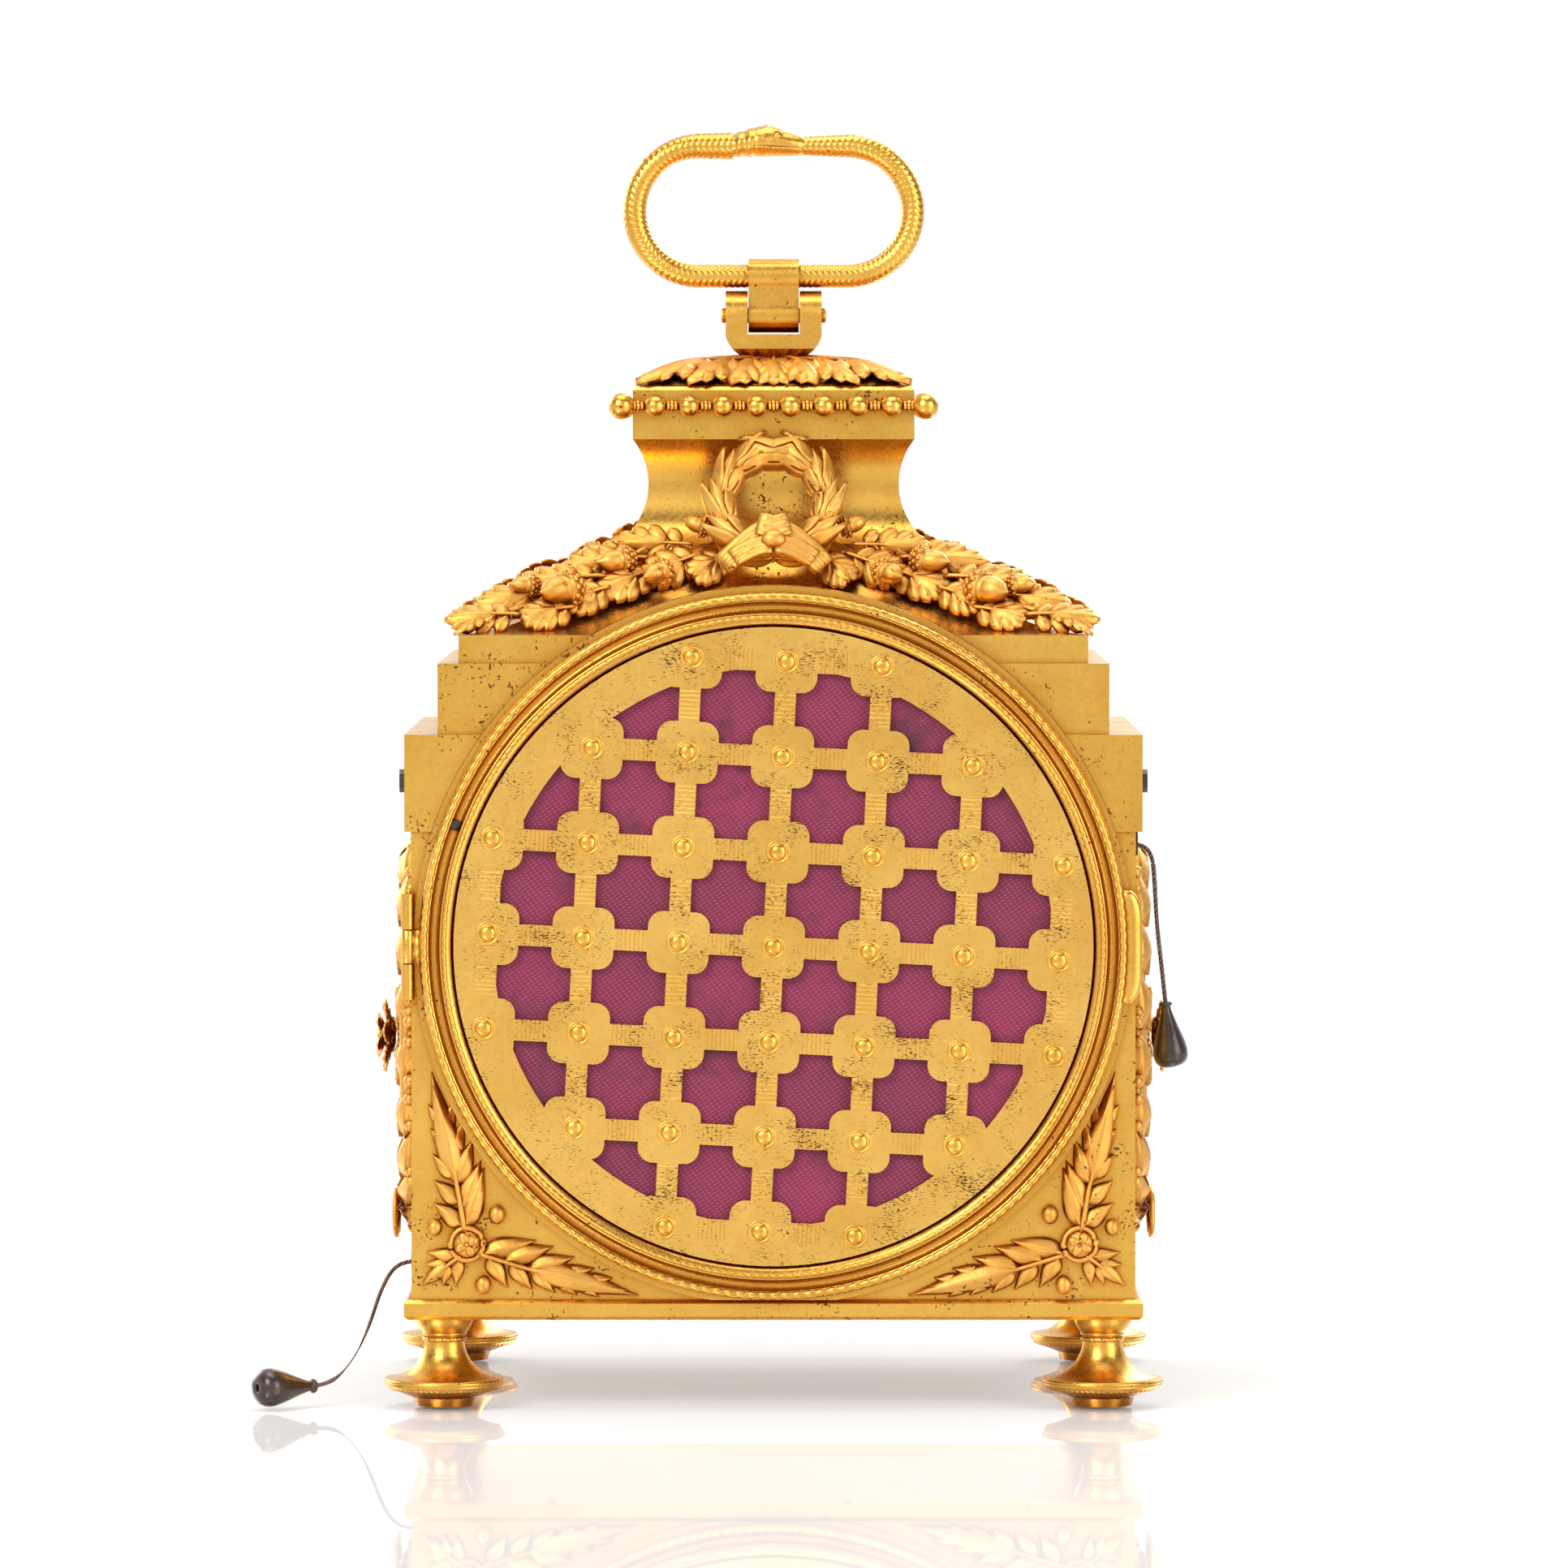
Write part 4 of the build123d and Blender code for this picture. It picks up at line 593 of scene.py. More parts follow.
PEAR_PROFILE = ((0.0, 0.0), (0.085, 0.0), (0.10, 0.03), (0.095, 0.06), (0.062, 0.075), (0.075, 0.14),
                (0.115, 0.27), (0.165, 0.42), (0.215, 0.56), (0.252, 0.70), (0.262, 0.80), (0.240, 0.90),
                (0.185, 0.965), (0.115, 0.995), (0.060, 1.0), (0.048, 0.985), (0.045, 0.90), (0.0, 0.885))


def pear(name, node, neck, toward, body):
    """A turned horn pear with a collar at its neck and a small drilled hole in its foot."""
    length = {"repeat_pear": 11.4, "alarm_pear": 12.08}[node]
    radius = {"repeat_pear": 3.05, "alarm_pear": 3.35}[node]
    bm = bmesh.new()
    place = placed(neck, Vector(toward).orthogonal(), toward)
    profile = [(r * radius / 0.262, h * length) for r, h in PEAR_PROFILE]
    add_lathe(bm, place, profile, around=48)
    obj = piece(name, bm, dark_horn, body)
    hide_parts(node)
    smooth = obj.modifiers.new("smooth", "SUBSURF")
    smooth.levels = smooth.render_levels = 1
    return obj


repeat_pear = pear("repeat_pear_turned", "repeat_pear", REPEAT_ROUTE[-1], (-0.10, 0.04, -1.0), "repeat_pull")
alarm_pear = pear("alarm_pear_turned", "alarm_pear", ALARM_ROUTE[-1], (0.80, 0.60, 0.03), "alarm_pull")
repeat_cord = pull_cord("repeat_cord_line", REPEAT_ROUTE, (1, 1, 1, 0.95, 0.85, 0.9, 0.9))
alarm_cord = pull_cord("alarm_cord_line", ALARM_ROUTE, (1, 1, 1, 1, 0.9, 0.35, 0.35, 1.1, 1))
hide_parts("repeat_cord")
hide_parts("alarm_cord")


# ------------------------------------------------------------------ doors
def facing(side):
    """A placed frame on the clock's axis whose z points out of the rear (1) or front (-1) face."""
    return placed((0, 0, FACE_Z), (-side, 0, 0), (0, side, 0))


def bezel_profile():
    """The door ring's section as (radius, height above the face ring)."""
    top = DOOR_T
    points = [(54.45, 0.0), (DOOR_R, 0.0), (DOOR_R, top - 1.5), (DOOR_R - 0.25, top - 1.25)]
    for i in range(13):
        turn = pi * i / 12
        points.append((57.75 + 0.95 * cos(turn), top - 0.85 - 1.15 * sin(turn)))
    points += [(56.75, top - 0.55), (56.45, top - 0.7), (55.65, top - 0.7), (55.4, top - 0.9),
               (54.9, top - 1.1),
               (54.75, top - 1.5), (54.45, top - 1.7), (54.45, 0.0)]
    return points


def door_ring(place_name, side):
    """The chased door ring: cove, two rope-twist rings, thumb tab and hinge knuckle."""
    bm = bmesh.new()
    out = facing(side)
    seat = out @ Matrix.Translation((0, 0, DOOR_BACK))
    add_lathe(bm, seat, bezel_profile(), around=220)
    add_rope_ring(bm, seat @ Matrix.Translation((0, 0, DOOR_T - 1.05)), DOOR_R - 0.72, 0.72, 190)
    add_rope_ring(bm, seat @ Matrix.Translation((0, 0, DOOR_T - 0.75)), 56.05, 0.44, 250)
    # thumb tab: a shallow scalloped ear at the edge away from the hinge
    rows = []
    for i in range(25):
        v = 2 * i / 24 - 1
        z = 9.6 * v
        reach = sqrt(max(0.0, DOOR_R**2 - z * z)) - 0.8
        edge = 62.75 - 1.9 * abs(v) ** 6
        row = []
        for x, h in ((reach, 0.1), (edge - 0.3, 0.1), (edge, 0.5), (edge - 0.05, 1.4), (edge - 0.5, 2.0),
                     (reach, 2.1)):
            row.append(bm.verts.new(seat @ Vector((x, z, h))))
        rows.append(row)
    grid_faces(bm, rows, close_v=True)
    bm.faces.new(list(reversed(rows[0])))
    bm.faces.new(rows[-1])
    # hinge knuckle and its strap
    knuckle_x = -(HALF_W + 0.5)
    low, high = -2.9, 2.9
    barrel = seat @ placed((knuckle_x, low, 1.1), (1, 0, 0), (0, 1, 0))
    add_lathe(bm, barrel,
              ((0.56, 0.0), (0.95, 0.0), (1.1, 0.18), (1.1, high - low - 0.18), (0.95, high - low),
               (0.56, high - low), (0.56, 0.0)), around=24)
    strap = []
    for z in (-2.8, 2.8):
        strap.append([bm.verts.new(seat @ Vector((x, z, h)))
                      for x, h in ((-59.4, 0.2), (-61.4, 0.2), (-61.4, 1.9), (-59.4, 1.9))])
    grid_faces(bm, strap, close_v=True)
    bm.faces.new(list(reversed(strap[0])))
    bm.faces.new(strap[1])
    obj = piece(f"{place_name}_door_ring", bm, chased_gilt, f"{place_name}_door")
    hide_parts(f"{place_name}_door_bezel")


door_ring("rear", 1)
door_ring("front", -1)

LATTICE = 16.2
LATTICE_TURN = radians(2.75)
lattice_spots = [(i, j) for i in range(-3, 4) for j in range(-3, 4) if i * i + j * j <= 10]


def lattice_point(i, j, h):
    """A lattice crossing on the rear grille, h above the grille's face."""
    x = LATTICE * (i * cos(LATTICE_TURN) - j * sin(LATTICE_TURN))
    z = LATTICE * (i * sin(LATTICE_TURN) + j * cos(LATTICE_TURN))
    return Vector((x, grille_high.y + h, FACE_Z + z))


def studs():
    """Domed studs, each in a turned groove, on every crossing of the lattice."""
    bm = bmesh.new()
    for i, j in lattice_spots:
        place = placed(lattice_point(i, j, 0.0), (1, 0, 0), (0, 1, 0))
        add_lathe(bm, place,
                  ((2.05, -0.02), (2.0, 0.10), (1.78, 0.12), (1.66, 0.03), (1.46, 0.03), (1.38, 0.18),
                              (1.16, 0.42), (0.75, 0.60), (0.3, 0.68), (0.0, 0.69)), around=26)
    obj = piece("stud_heads", bm, chased_gilt, "rear_door")
    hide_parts("grille_studs")


def hatching():
    """Fine ridges across the bars between the pads."""
    bm = bmesh.new()
    for i, j in lattice_spots:
        for di, dj in ((1, 0), (0, 1)):
            if (i + di, j + dj) not in lattice_spots:
                continue
            a = lattice_point(i, j, 0.0)
            b = lattice_point(i + di, j + dj, 0.0)
            along = (b - a).normalized()
            side = along.cross(Vector((0, 1, 0)))
            for k in range(7):
                mid = a + (b - a) * (0.5 + (k - 3) * 0.046)
                half = along * 0.17
                width = side * 1.72
                low = [bm.verts.new(mid + sx * half + sy * width) for sx,
                       sy in ((-1, -1), (1, -1), (1, 1), (-1, 1))]
                ridge = [bm.verts.new(mid + sy * width * 0.98 + Vector((0, 0.13, 0))) for sy in (-1, 1)]
                bm.faces.new((low[0], low[1], ridge[0]))
                bm.faces.new((low[2], low[3], ridge[1]))
                bm.faces.new((low[1], low[2], ridge[1], ridge[0]))
                bm.faces.new((low[3], low[0], ridge[0], ridge[1]))
                bm.faces.new(list(reversed(low)))
    piece("bar_hatching", bm, brushed_gilt, "rear_door", smooth=False)


studs()
hatching()


def silk():
    """The silk behind the grille: a stretched disc that ripples a little."""
    random.seed(11)
    bm = bmesh.new()
    low, high = [Vector(v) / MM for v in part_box("silk_panel")]
    y = (low.y + high.y) / 2
    radius = (high.x - low.x) / 2
    rings = 42
    around = 128
    rows = []
    for i in range(rings + 1):
        r = radius * (0.02 + 0.98 * i / rings)
        row = []
        for k in range(around):
            turn = 2 * pi * k / around
            x, z = r * cos(turn), r * sin(turn)
            ripple = 0.09 * sin(0.33 * (x + z) + 1.2 * sin(0.11 * x)) + 0.05 * sin(0.9 * x - 0.4 * z)
            row.append(bm.verts.new((x, y + ripple * (1 - (r / radius) ** 4), FACE_Z + z)))
        rows.append(row)
    grid_faces(bm, rows, close_v=True)
    bm.faces.new(rows[0])
    obj = piece("silk_cloth", bm, silk_twill, "rear_door")
    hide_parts("silk_panel")


silk()


# ------------------------------------------------------------------ bead and reel, acanthus mount
def bead_and_reel():
    """Oval beads with pairs of reels between them round the top block, and a ball at each corner."""
    low, high = [Vector(v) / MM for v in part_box("bead_moulding")]
    z = (low.z + high.z) / 2
    out = 1.95
    bm = bmesh.new()
    for count, half, cross in ((8, BLOCK_HALF + out, BLOCK_DEEP + out),
                               (5, BLOCK_DEEP + out, BLOCK_HALF + out)):
        pitch = 2 * half / (count + 1)
        for side in (1, -1):
            for i in range(count + 1):
                spot = (i - (count + 1) / 2 + 0.5) * pitch
                along = Vector((1, 0, 0)) if count == 8 else Vector((0, 1, 0))
                away = Vector((0, side * (cross - 0.35), z)) if count == 8 else Vector((side * (cross - 0.35),
                                                                                        0, z))
                if i < count:
                    add_ball(bm, placed(away + along * (spot + pitch / 2), along, (0, 0, 1)),
                             (1.95, 1.8, 1.85), rings=12, around=20)
                joint = away + along * spot
                for nudge, r in ((-0.62, 0.92), (0.0, 1.12), (0.62, 0.92)):
                    add_lathe(bm, placed(joint + along * nudge, (0, 0, 1), along),
                              [(0.0, -0.34), (0.8 * r, -0.30), (r, -0.12), (r, 0.12), (0.8 * r, 0.30),
                               (0.0, 0.34)], around=16)
    for sx in (1, -1):
        for sy in (1, -1):
            add_ball(bm, placed((sx * (BLOCK_HALF + out), sy * (BLOCK_DEEP + out), z), (1, 0, 0), (0, 0, 1)),
                     (2.2, 2.2, 2.25),
                     rings=14, around=22)
    obj = piece("bead_and_reel", bm, chased_gilt, "case")
    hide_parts("bead_moulding")


bead_and_reel()


def acanthus():
    """A low crown of lobed leaves that spread from the fork's foot to the top block's edge."""
    low, high = [Vector(v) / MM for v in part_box("acanthus_mount")]
    bm = bmesh.new()
    half = Vector((high.x + 0.2, high.y + 0.2))
    spots = [(x * half.x * 0.31, side * half.y, 10.5) for x in (-2, -1, 0, 1, 2) for side in (1, -1)]
    spots += [(side * half.x, y * half.y * 0.52, 10.0) for y in (-1, 0, 1) for side in (1, -1)]
    spots += [(sx * (half.x - 0.4), sy * (half.y - 0.4), 10.5) for sx in (1, -1) for sy in (1, -1)]
    for number, (x, y, width) in enumerate(sorted(spots)):
        tip = Vector((x, y, low.z + 0.55))
        foot = Vector((x * 0.20, y * 0.16, high.z - 0.75 + 0.12 * (number % 3)))
        run = tip - foot
        add_oak_leaf(bm, placed(foot, run, (0, 0, 1)), run.length, width, lobes=ACANTHUS, cup=-0.55,
                     crest=1.1)
    for k in range(8):
        turn = 2 * pi * (k + 0.5) / 8
        foot = Vector((1.6 * cos(turn), 1.6 * sin(turn), high.z - 0.1))
        add_oak_leaf(bm, placed(foot, (cos(turn), sin(turn), -0.16), (0, 0, 1)), 8.2, 6.0, sag=0.12)
    piece("acanthus_leaves", bm, matte_gilt, "case")


acanthus()


# ------------------------------------------------------------------ snake handle
def snake():
    """The bow as a snake that bites its tail: scaled body, swelling neck, head with gill ridges and eyes."""
    low, high = [Vector(v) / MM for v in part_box("handle_bow")]
    tube = 2.05
    bar_z = low.z + tube
    half = high.x - tube
    rise = 22.65
    end = half - rise / 2
    corner = rise / 2
    straight = 2 * end
    arc = pi * corner
    total = 2 * straight + 2 * arc

    def at(s):
        """The centre line, starting at the top middle and running towards -X."""
        s %= total
        if s < end:
            return Vector((-s, 0, bar_z + rise))
        s -= end
        if s < arc:
            turn = pi / 2 + s / corner
            return Vector((-end + corner * cos(turn), 0, bar_z + corner + corner * sin(turn)))
        s -= arc
        if s < straight:
            return Vector((-end + s, 0, bar_z))
        s -= straight
        if s < arc:
            turn = -pi / 2 + s / corner
            return Vector((end + corner * cos(turn), 0, bar_z + corner + corner * sin(turn)))
        s -= arc
        return Vector((end - s, 0, bar_z + rise))

    steps = 900
    around = 28
    bm = bmesh.new()
    rows = []
    for i in range(steps + 1):
        s = 2.0 + (total - 9.0) * i / steps
        p = at(s)
        along = (at(s + 0.05) - at(s - 0.05)).normalized()
        over = Vector((0, 1, 0))
        side = along.cross(over).normalized()
        t = i / steps
        r = tube * (0.70 + 0.30 * min(1.0, t / 0.10))
        r *= 1 + 0.16 * max(0.0, (t - 0.90) / 0.10)
        row = []
        for k in range(around):
            angle = 2 * pi * k / around
            chevron = abs(((s * 0.95 + 0.9 * abs(((angle / (pi / 4)) % 2) - 1)) % 1.0) - 0.5) * 2
            groove = 1 - 0.075 * (1 - chevron) ** 1.2
            row.append(bm.verts.new(p + side * (r * groove * cos(angle)) + over * (r * groove * sin(angle))))
        rows.append(row)
    grid_faces(bm, rows, close_v=True)
    bm.faces.new(list(reversed(rows[0])))
    bm.faces.new(rows[-1])
    body = piece("snake_body", bm, chased_gilt, "handle")
    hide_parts("handle_bow")

    head = bmesh.new()
    z = bar_z + rise
    sections = ((7.6, 2.25, 2.15, 0.0), (6.2, 2.75, 2.45, 0.25), (4.8, 3.1, 2.7, 0.5), (3.2, 3.35, 3.0, 0.75),
                (1.6, 3.3, 3.15, 0.85), (0.2, 3.0, 3.0, 0.8), (-1.4, 2.75, 2.7, 0.6), (-3.0, 2.5, 2.4, 0.35),
                (-4.4, 2.15, 2.1, 0.15), (-5.4, 1.6, 1.7, 0.05))
    rows = []
    smooth = 5
    dense = []
    for a, b in zip(sections, sections[1:]):
        for m in range(smooth):
            f = m / smooth
            dense.append(tuple(p + (q - p) * f for p, q in zip(a, b)))
    dense.append(sections[-1])
    for x, wide, tall, lift in dense:
        row = []
        for k in range(32):
            angle = 2 * pi * k / 32
            gill = 1 + (0.05 * sin(x * 3.4) if 3.0 < x < 7.0 else 0)
            brow = 1 + 0.10 * max(0.0, sin(angle)) * (1 if -1.5 < x < 1.5 else 0)
            row.append(head.verts.new((x, wide * cos(angle) * gill,
                                       z + lift + tall * sin(angle) * gill * brow * 0.86)))
        rows.append(row)
    grid_faces(head, rows, close_v=True)
    head.faces.new(rows[0])
    head.faces.new(list(reversed(rows[-1])))
    for side in (1, -1):
        add_ball(head, placed((-0.6, side * 2.35, z + 1.75), (1, 0, 0), (0, side, 0.5)), (0.75, 0.62, 0.5))
        rim = [Vector((-0.6 + 0.95 * cos(t), side * (2.45 - 0.1), z + 1.75 + 0.8 * sin(t)))
               for t in [2 * pi * n / 20 for n in range(20)]]
        add_tube(head, rim, 0.2, around=6, closed=True)
        jaw = [Vector((x, side * w, z - 0.35 + 0.05 * x)) for x, w in
               ((3.6, 3.3), (2.0, 3.22), (0.4, 2.98), (-1.2, 2.78), (-2.8, 2.55), (-4.2, 2.2), (-5.2, 1.75))]
        add_tube(head, jaw, 0.26, around=8)
    obj = piece("snake_head", head, chased_gilt, "handle")
    soft = obj.modifiers.new("smooth", "SUBSURF")
    soft.levels = soft.render_levels = 1


snake()


# ------------------------------------------------------------------ roof ornaments
def roof_depth(z, half):
    """Half the roof's width at a level: the concave slope, then the waisted neck. half is its half width at
    the foot."""
    slope_in = 26.6
    if z <= NECK_Z:
        t = (z - ROOF_Z) / (NECK_Z - ROOF_Z)
        return half - slope_in * (1 - (1 - t) ** 1.75) if t > 0 else half
    t = (z - NECK_Z) / 18.0
    neck = half - slope_in
    waist = neck - 5.6
    return waist + (neck - waist) * (1 - min(1, t / 0.6)) ** 2 + 2.65 * max(0, (t - 0.6) / 0.4) ** 1.5


def laurel_wreath(bm, place, rx, ry, leaves, size, tube, berries=None):
    """Two branches of overlapping laurel leaves that rise from the foot of an oval and meet at its top."""
    core = [place @ Vector((rx * cos(t), ry * sin(t),
                            0.55 * tube)) for t in [2 * pi * k / 72 for k in range(72)]]
    add_tube(bm, core, tube, around=12, closed=True)
    turned = place.to_3x3()
    for half in (1, -1):
        for i in range(leaves):
            t = radians(-86 + 166 * i / (leaves - 1))
            spot = Vector((half * rx * cos(t), ry * sin(t), 0.55 * tube))
            ahead = Vector((-half * rx * sin(t), ry * cos(t), 0)).normalized()
            outward = Vector((half * ry * cos(t), rx * sin(t), 0)).normalized()
            for lean in (0.95, -0.95, 0.05):
                up = (Vector((0, 0, 1)) * (1 - 0.55 * abs(lean)) + outward * 0.85 * lean).normalized()
                along = ahead + outward * (0.16 * lean)
                base = spot + up * (tube * 0.86)
                frame_at = placed(place @ base, turned @ along, turned @ up)

                def put(x, y, h, frame_at=frame_at):
                    return frame_at @ Vector((x, y, h - 0.040 * x * x / tube - 0.10 * y * y / tube))

                add_blade(bm, put, (-0.12 * size[0], 0), 0.0, size[0], size[1], lift=(0.25, 0.75), fold=0.12,
                          vein=0.12)
            if berries:
                reach, r, every = berries
                if i % every != every - 1:
                    spot_b = spot + outward * reach + Vector((0, 0, 0.1))
                    add_ball(bm, Matrix.Translation(place @ spot_b), (r, r, r), rings=10, around=16)


def roof_spot(x, z, sy, lift=0.0):
    """A point on the roof's slope over the rear (sy 1) or front face, and its outward normal."""
    y = roof_depth(z, ROOF_DEEP)
    rise = Vector((0, sy * (roof_depth(z + 0.2, ROOF_DEEP) - roof_depth(z - 0.2, ROOF_DEEP)),
                   0.4)).normalized()
    out = rise.cross(Vector((1, 0, 0)))
    out *= 1 if out.z > 0 else -1
    return Vector((x, sy * y, z)) + out * lift, out


def roof_wreaths():
    """A heavy laurel wreath that leans on the neck on each face, tied at its foot with a fluted ribbon."""
    bm = bmesh.new()
    low, high = [Vector(v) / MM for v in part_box("roof_wreaths")]
    for side in (1, -1):
        centre = Vector((0, side * (high.y - 4.6), (low.z + high.z) / 2))
        place = placed(centre, (-side, 0, 0), (0, side, 0.35))
        laurel_wreath(bm, place, 8.7, 8.7, 6, (9.0, 4.6), 1.9)
        turned = place.to_3x3()
        for sx in (1, -1):
            points = [place @ Vector((sx * (-2.8 + 11.5 * n / 8), -4.6 - 7.6 * n / 8 + 1.6 * sin(pi * n / 8),
                                      3.9 - 0.9 * (n / 8) ** 2))
                      for n in range(9)]
            add_ribbon(bm, points, [turned @ Vector((0.10 * sx, 0.12, 1))] * 9, 4.4)
            points = [place @ Vector((sx * (0.4 + 6.6 * n / 6), -8.4 - 2.6 * n / 6 + 0.5 * sin(pi * n / 6),
                                      4.3 - 0.8 * n / 6))
                      for n in range(7)]
            add_ribbon(bm, points, [turned @ Vector((0, 0.1, 1))] * 7, 3.6)
        add_ball(bm, place @ Matrix.Translation((0, -7.6, 4.4)), (2.2, 1.7, 1.3))
    obj = piece("roof_wreath_leaves", bm, matte_gilt, "case")
    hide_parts("roof_wreaths")


roof_wreaths()


def acorn(bm, spot, along, size=1.0):
    """An acorn in its scaled cup."""
    place = placed(spot, Vector(along).orthogonal(), along)
    add_lathe(bm, place, [(r * size, h * size) for r, h in
                          ((0.0, -1.3), (0.9, -1.2), (1.55, -0.5), (1.7, 0.3), (1.55, 0.55), (1.32, 0.5),
                           (1.40, 1.3),
                           (1.25, 2.1), (0.85, 2.9), (0.3, 3.3), (0.12, 3.6), (0.0, 3.75))], around=22)
    for ring, (r, h) in enumerate(((1.1, -1.0), (1.5, -0.45), (1.68, 0.15))):
        for k in range(12):
            turn = 2 * pi * (k + 0.5 * (ring % 2)) / 12
            add_ball(bm, place @ Matrix.Translation((r * size * cos(turn), r * size * sin(turn), h * size)),
                     (0.36 * size, 0.36 * size, 0.30 * size), rings=5, around=8)


# oak branch on the right half of a face: each leaf as (x, z, degrees from straight out, length, width, lift)
BRANCH = ((43.5, 134.0, -13, 12.5, 7.6, 0.7), (37.0, 136.8, -24, 14.0, 8.4, 1.3),
          (34.0, 135.0, -52, 9.5, 7.6, 0.9), (29.5, 139.4, -16, 15.0, 8.6, 1.9),
          (28.0, 138.0, -60, 9.0, 8.0, 1.2), (21.5, 142.6, -8, 15.0, 8.2, 2.2),
          (21.0, 140.6, -48, 10.5, 8.2, 1.6), (14.0, 145.6, 2, 14.0, 7.6, 2.4),
          (13.0, 143.6, -34, 12.0, 8.6, 2.0), (8.5, 143.4, -58, 7.6, 7.2, 2.2),
          (24.5, 145.4, -22, 12.5, 6.8, 1.6), (33.5, 141.0, -34, 12.5, 6.8, 1.2))
ACORNS = ((25.6, 141.4, -28, 1.45), (35.6, 136.4, -62, 1.75), (12.6, 147.6, 26, 1.05),
          (41.0, 137.0, -20, 1.1), (19.5, 139.4, -64, 1.3))

# each leaf on a side slope: (z, in from the roof's rear or front edge)
SIDE_LEAVES = ((134.2, 4.0), (136.6, 6.5), (139.4, 5.5), (142.8, 4.5), (146.0, 3.0))


def oak_branches():
    """Oak branches with acorns over the roof's slopes, from the wreath to each corner, and round onto the
    sides."""
    random.seed(5)
    bm = bmesh.new()
    for sy in (1, -1):
        for sx in (1, -1):
            def lay(x, z, angle, lift):
                spot, out = roof_spot(sx * x, z, sy, lift)
                aim = Vector((sx * cos(radians(angle)), 0, sin(radians(angle))))
                along = aim - out * aim.dot(out)
                return spot, along.normalized(), (out + Vector((0, 0.75 * sy, 0))).normalized()

            for x, z, angle, length, width, lift in BRANCH:
                spot, along, up = lay(x + random.uniform(-0.5, 0.5), z, angle + random.uniform(-6, 6), lift)
                add_oak_leaf(bm, placed(spot, along + up * 0.14, up), length, width, sag=0.16, cup=-0.35)
            for x, z, angle, size in ACORNS:
                spot, along, up = lay(x + random.uniform(-0.6, 0.6), z, angle, 2.6)
                acorn(bm, spot + up * 1.1, along + up * 0.25, size)
            twig = [roof_spot(sx * (10 + 36 * n / 14), 146.0 - 11.4 * (n / 14) ** 0.8, sy,
                              1.0)[0] for n in range(15)]
            add_tube(bm, twig, lambda i: 1.25 - 0.05 * i, around=8)
            for n, (z, back) in enumerate(SIDE_LEAVES):
                x = roof_depth(z, ROOF_HALF)
                y = roof_depth(z, ROOF_DEEP) - back
                slope = Vector((sx * (roof_depth(z + 0.2, ROOF_HALF) - roof_depth(z - 0.2, ROOF_HALF)), 0,
                                0.4)).normalized()
                out = Vector((-slope.z * -sx, 0, abs(slope.x)))
                along = Vector((0, sy, 0)) * 0.9 - slope * 0.75
                add_oak_leaf(bm, placed(Vector((sx * x, sy * y, z)) + out * 1.2, along + out * 0.1, out),
                             11.5, 7.6, sag=0.16,
                             cup=-0.35)
                if n % 2:
                    acorn(bm, Vector((sx * x, sy * (y - 1.5), z)) + out * 2.6, -slope + out * 0.3, 1.2)
    piece("oak_branches", bm, matte_gilt, "case")


oak_branches()


# ------------------------------------------------------------------ corner sprays and side wreaths
# each frond of a corner spray: base and tip as (in from the wall's edge, up from its foot), side lobes and
# width
UP_FROND = ((9.2, 11.5), (3.0, 38.8),
            ((0.02, -1, 11.0, 30, 4.4), (0.14, -1, 9.0, 34, 4.2), (0.30, -1, 8.0, 32, 3.8),
             (0.46, -1, 6.6, 30, 3.2), (0.62, -1, 5.2, 26, 2.8), (0.04, 1, 6.6, 40, 3.6),
             (0.18, 1, 6.0, 36, 3.4), (0.34, 1, 5.6, 32, 3.2), (0.50, 1, 5.2, 28, 3.0),
             (0.66, 1, 4.6, 24, 2.6)), 4.6)
FOOT_FROND = ((11.4, 8.0), (38.8, 1.2),
              ((0.02, 1, 9.6, 28, 4.2), (0.16, 1, 8.8, 30, 4.0), (0.32, 1, 8.0, 28, 3.6),
               (0.50, 1, 6.4, 26, 3.2), (0.66, 1, 5.0, 22, 2.8), (0.06, -1, 6.4, 44, 3.4),
               (0.20, -1, 6.0, 36, 3.2), (0.34, -1, 5.6, 32, 3.0), (0.48, -1, 5.2, 28, 2.8),
               (0.62, -1, 4.6, 24, 2.6)), 4.4)
HEEL_FROND = ((8.4, 7.6), (1.6, 2.2),
              ((0.05, 1, 5.2, 46, 2.6), (0.30, 1, 3.8, 38, 2.2), (0.05, -1, 5.6, 46, 2.6),
               (0.30, -1, 4.0, 38, 2.2)), 2.6)


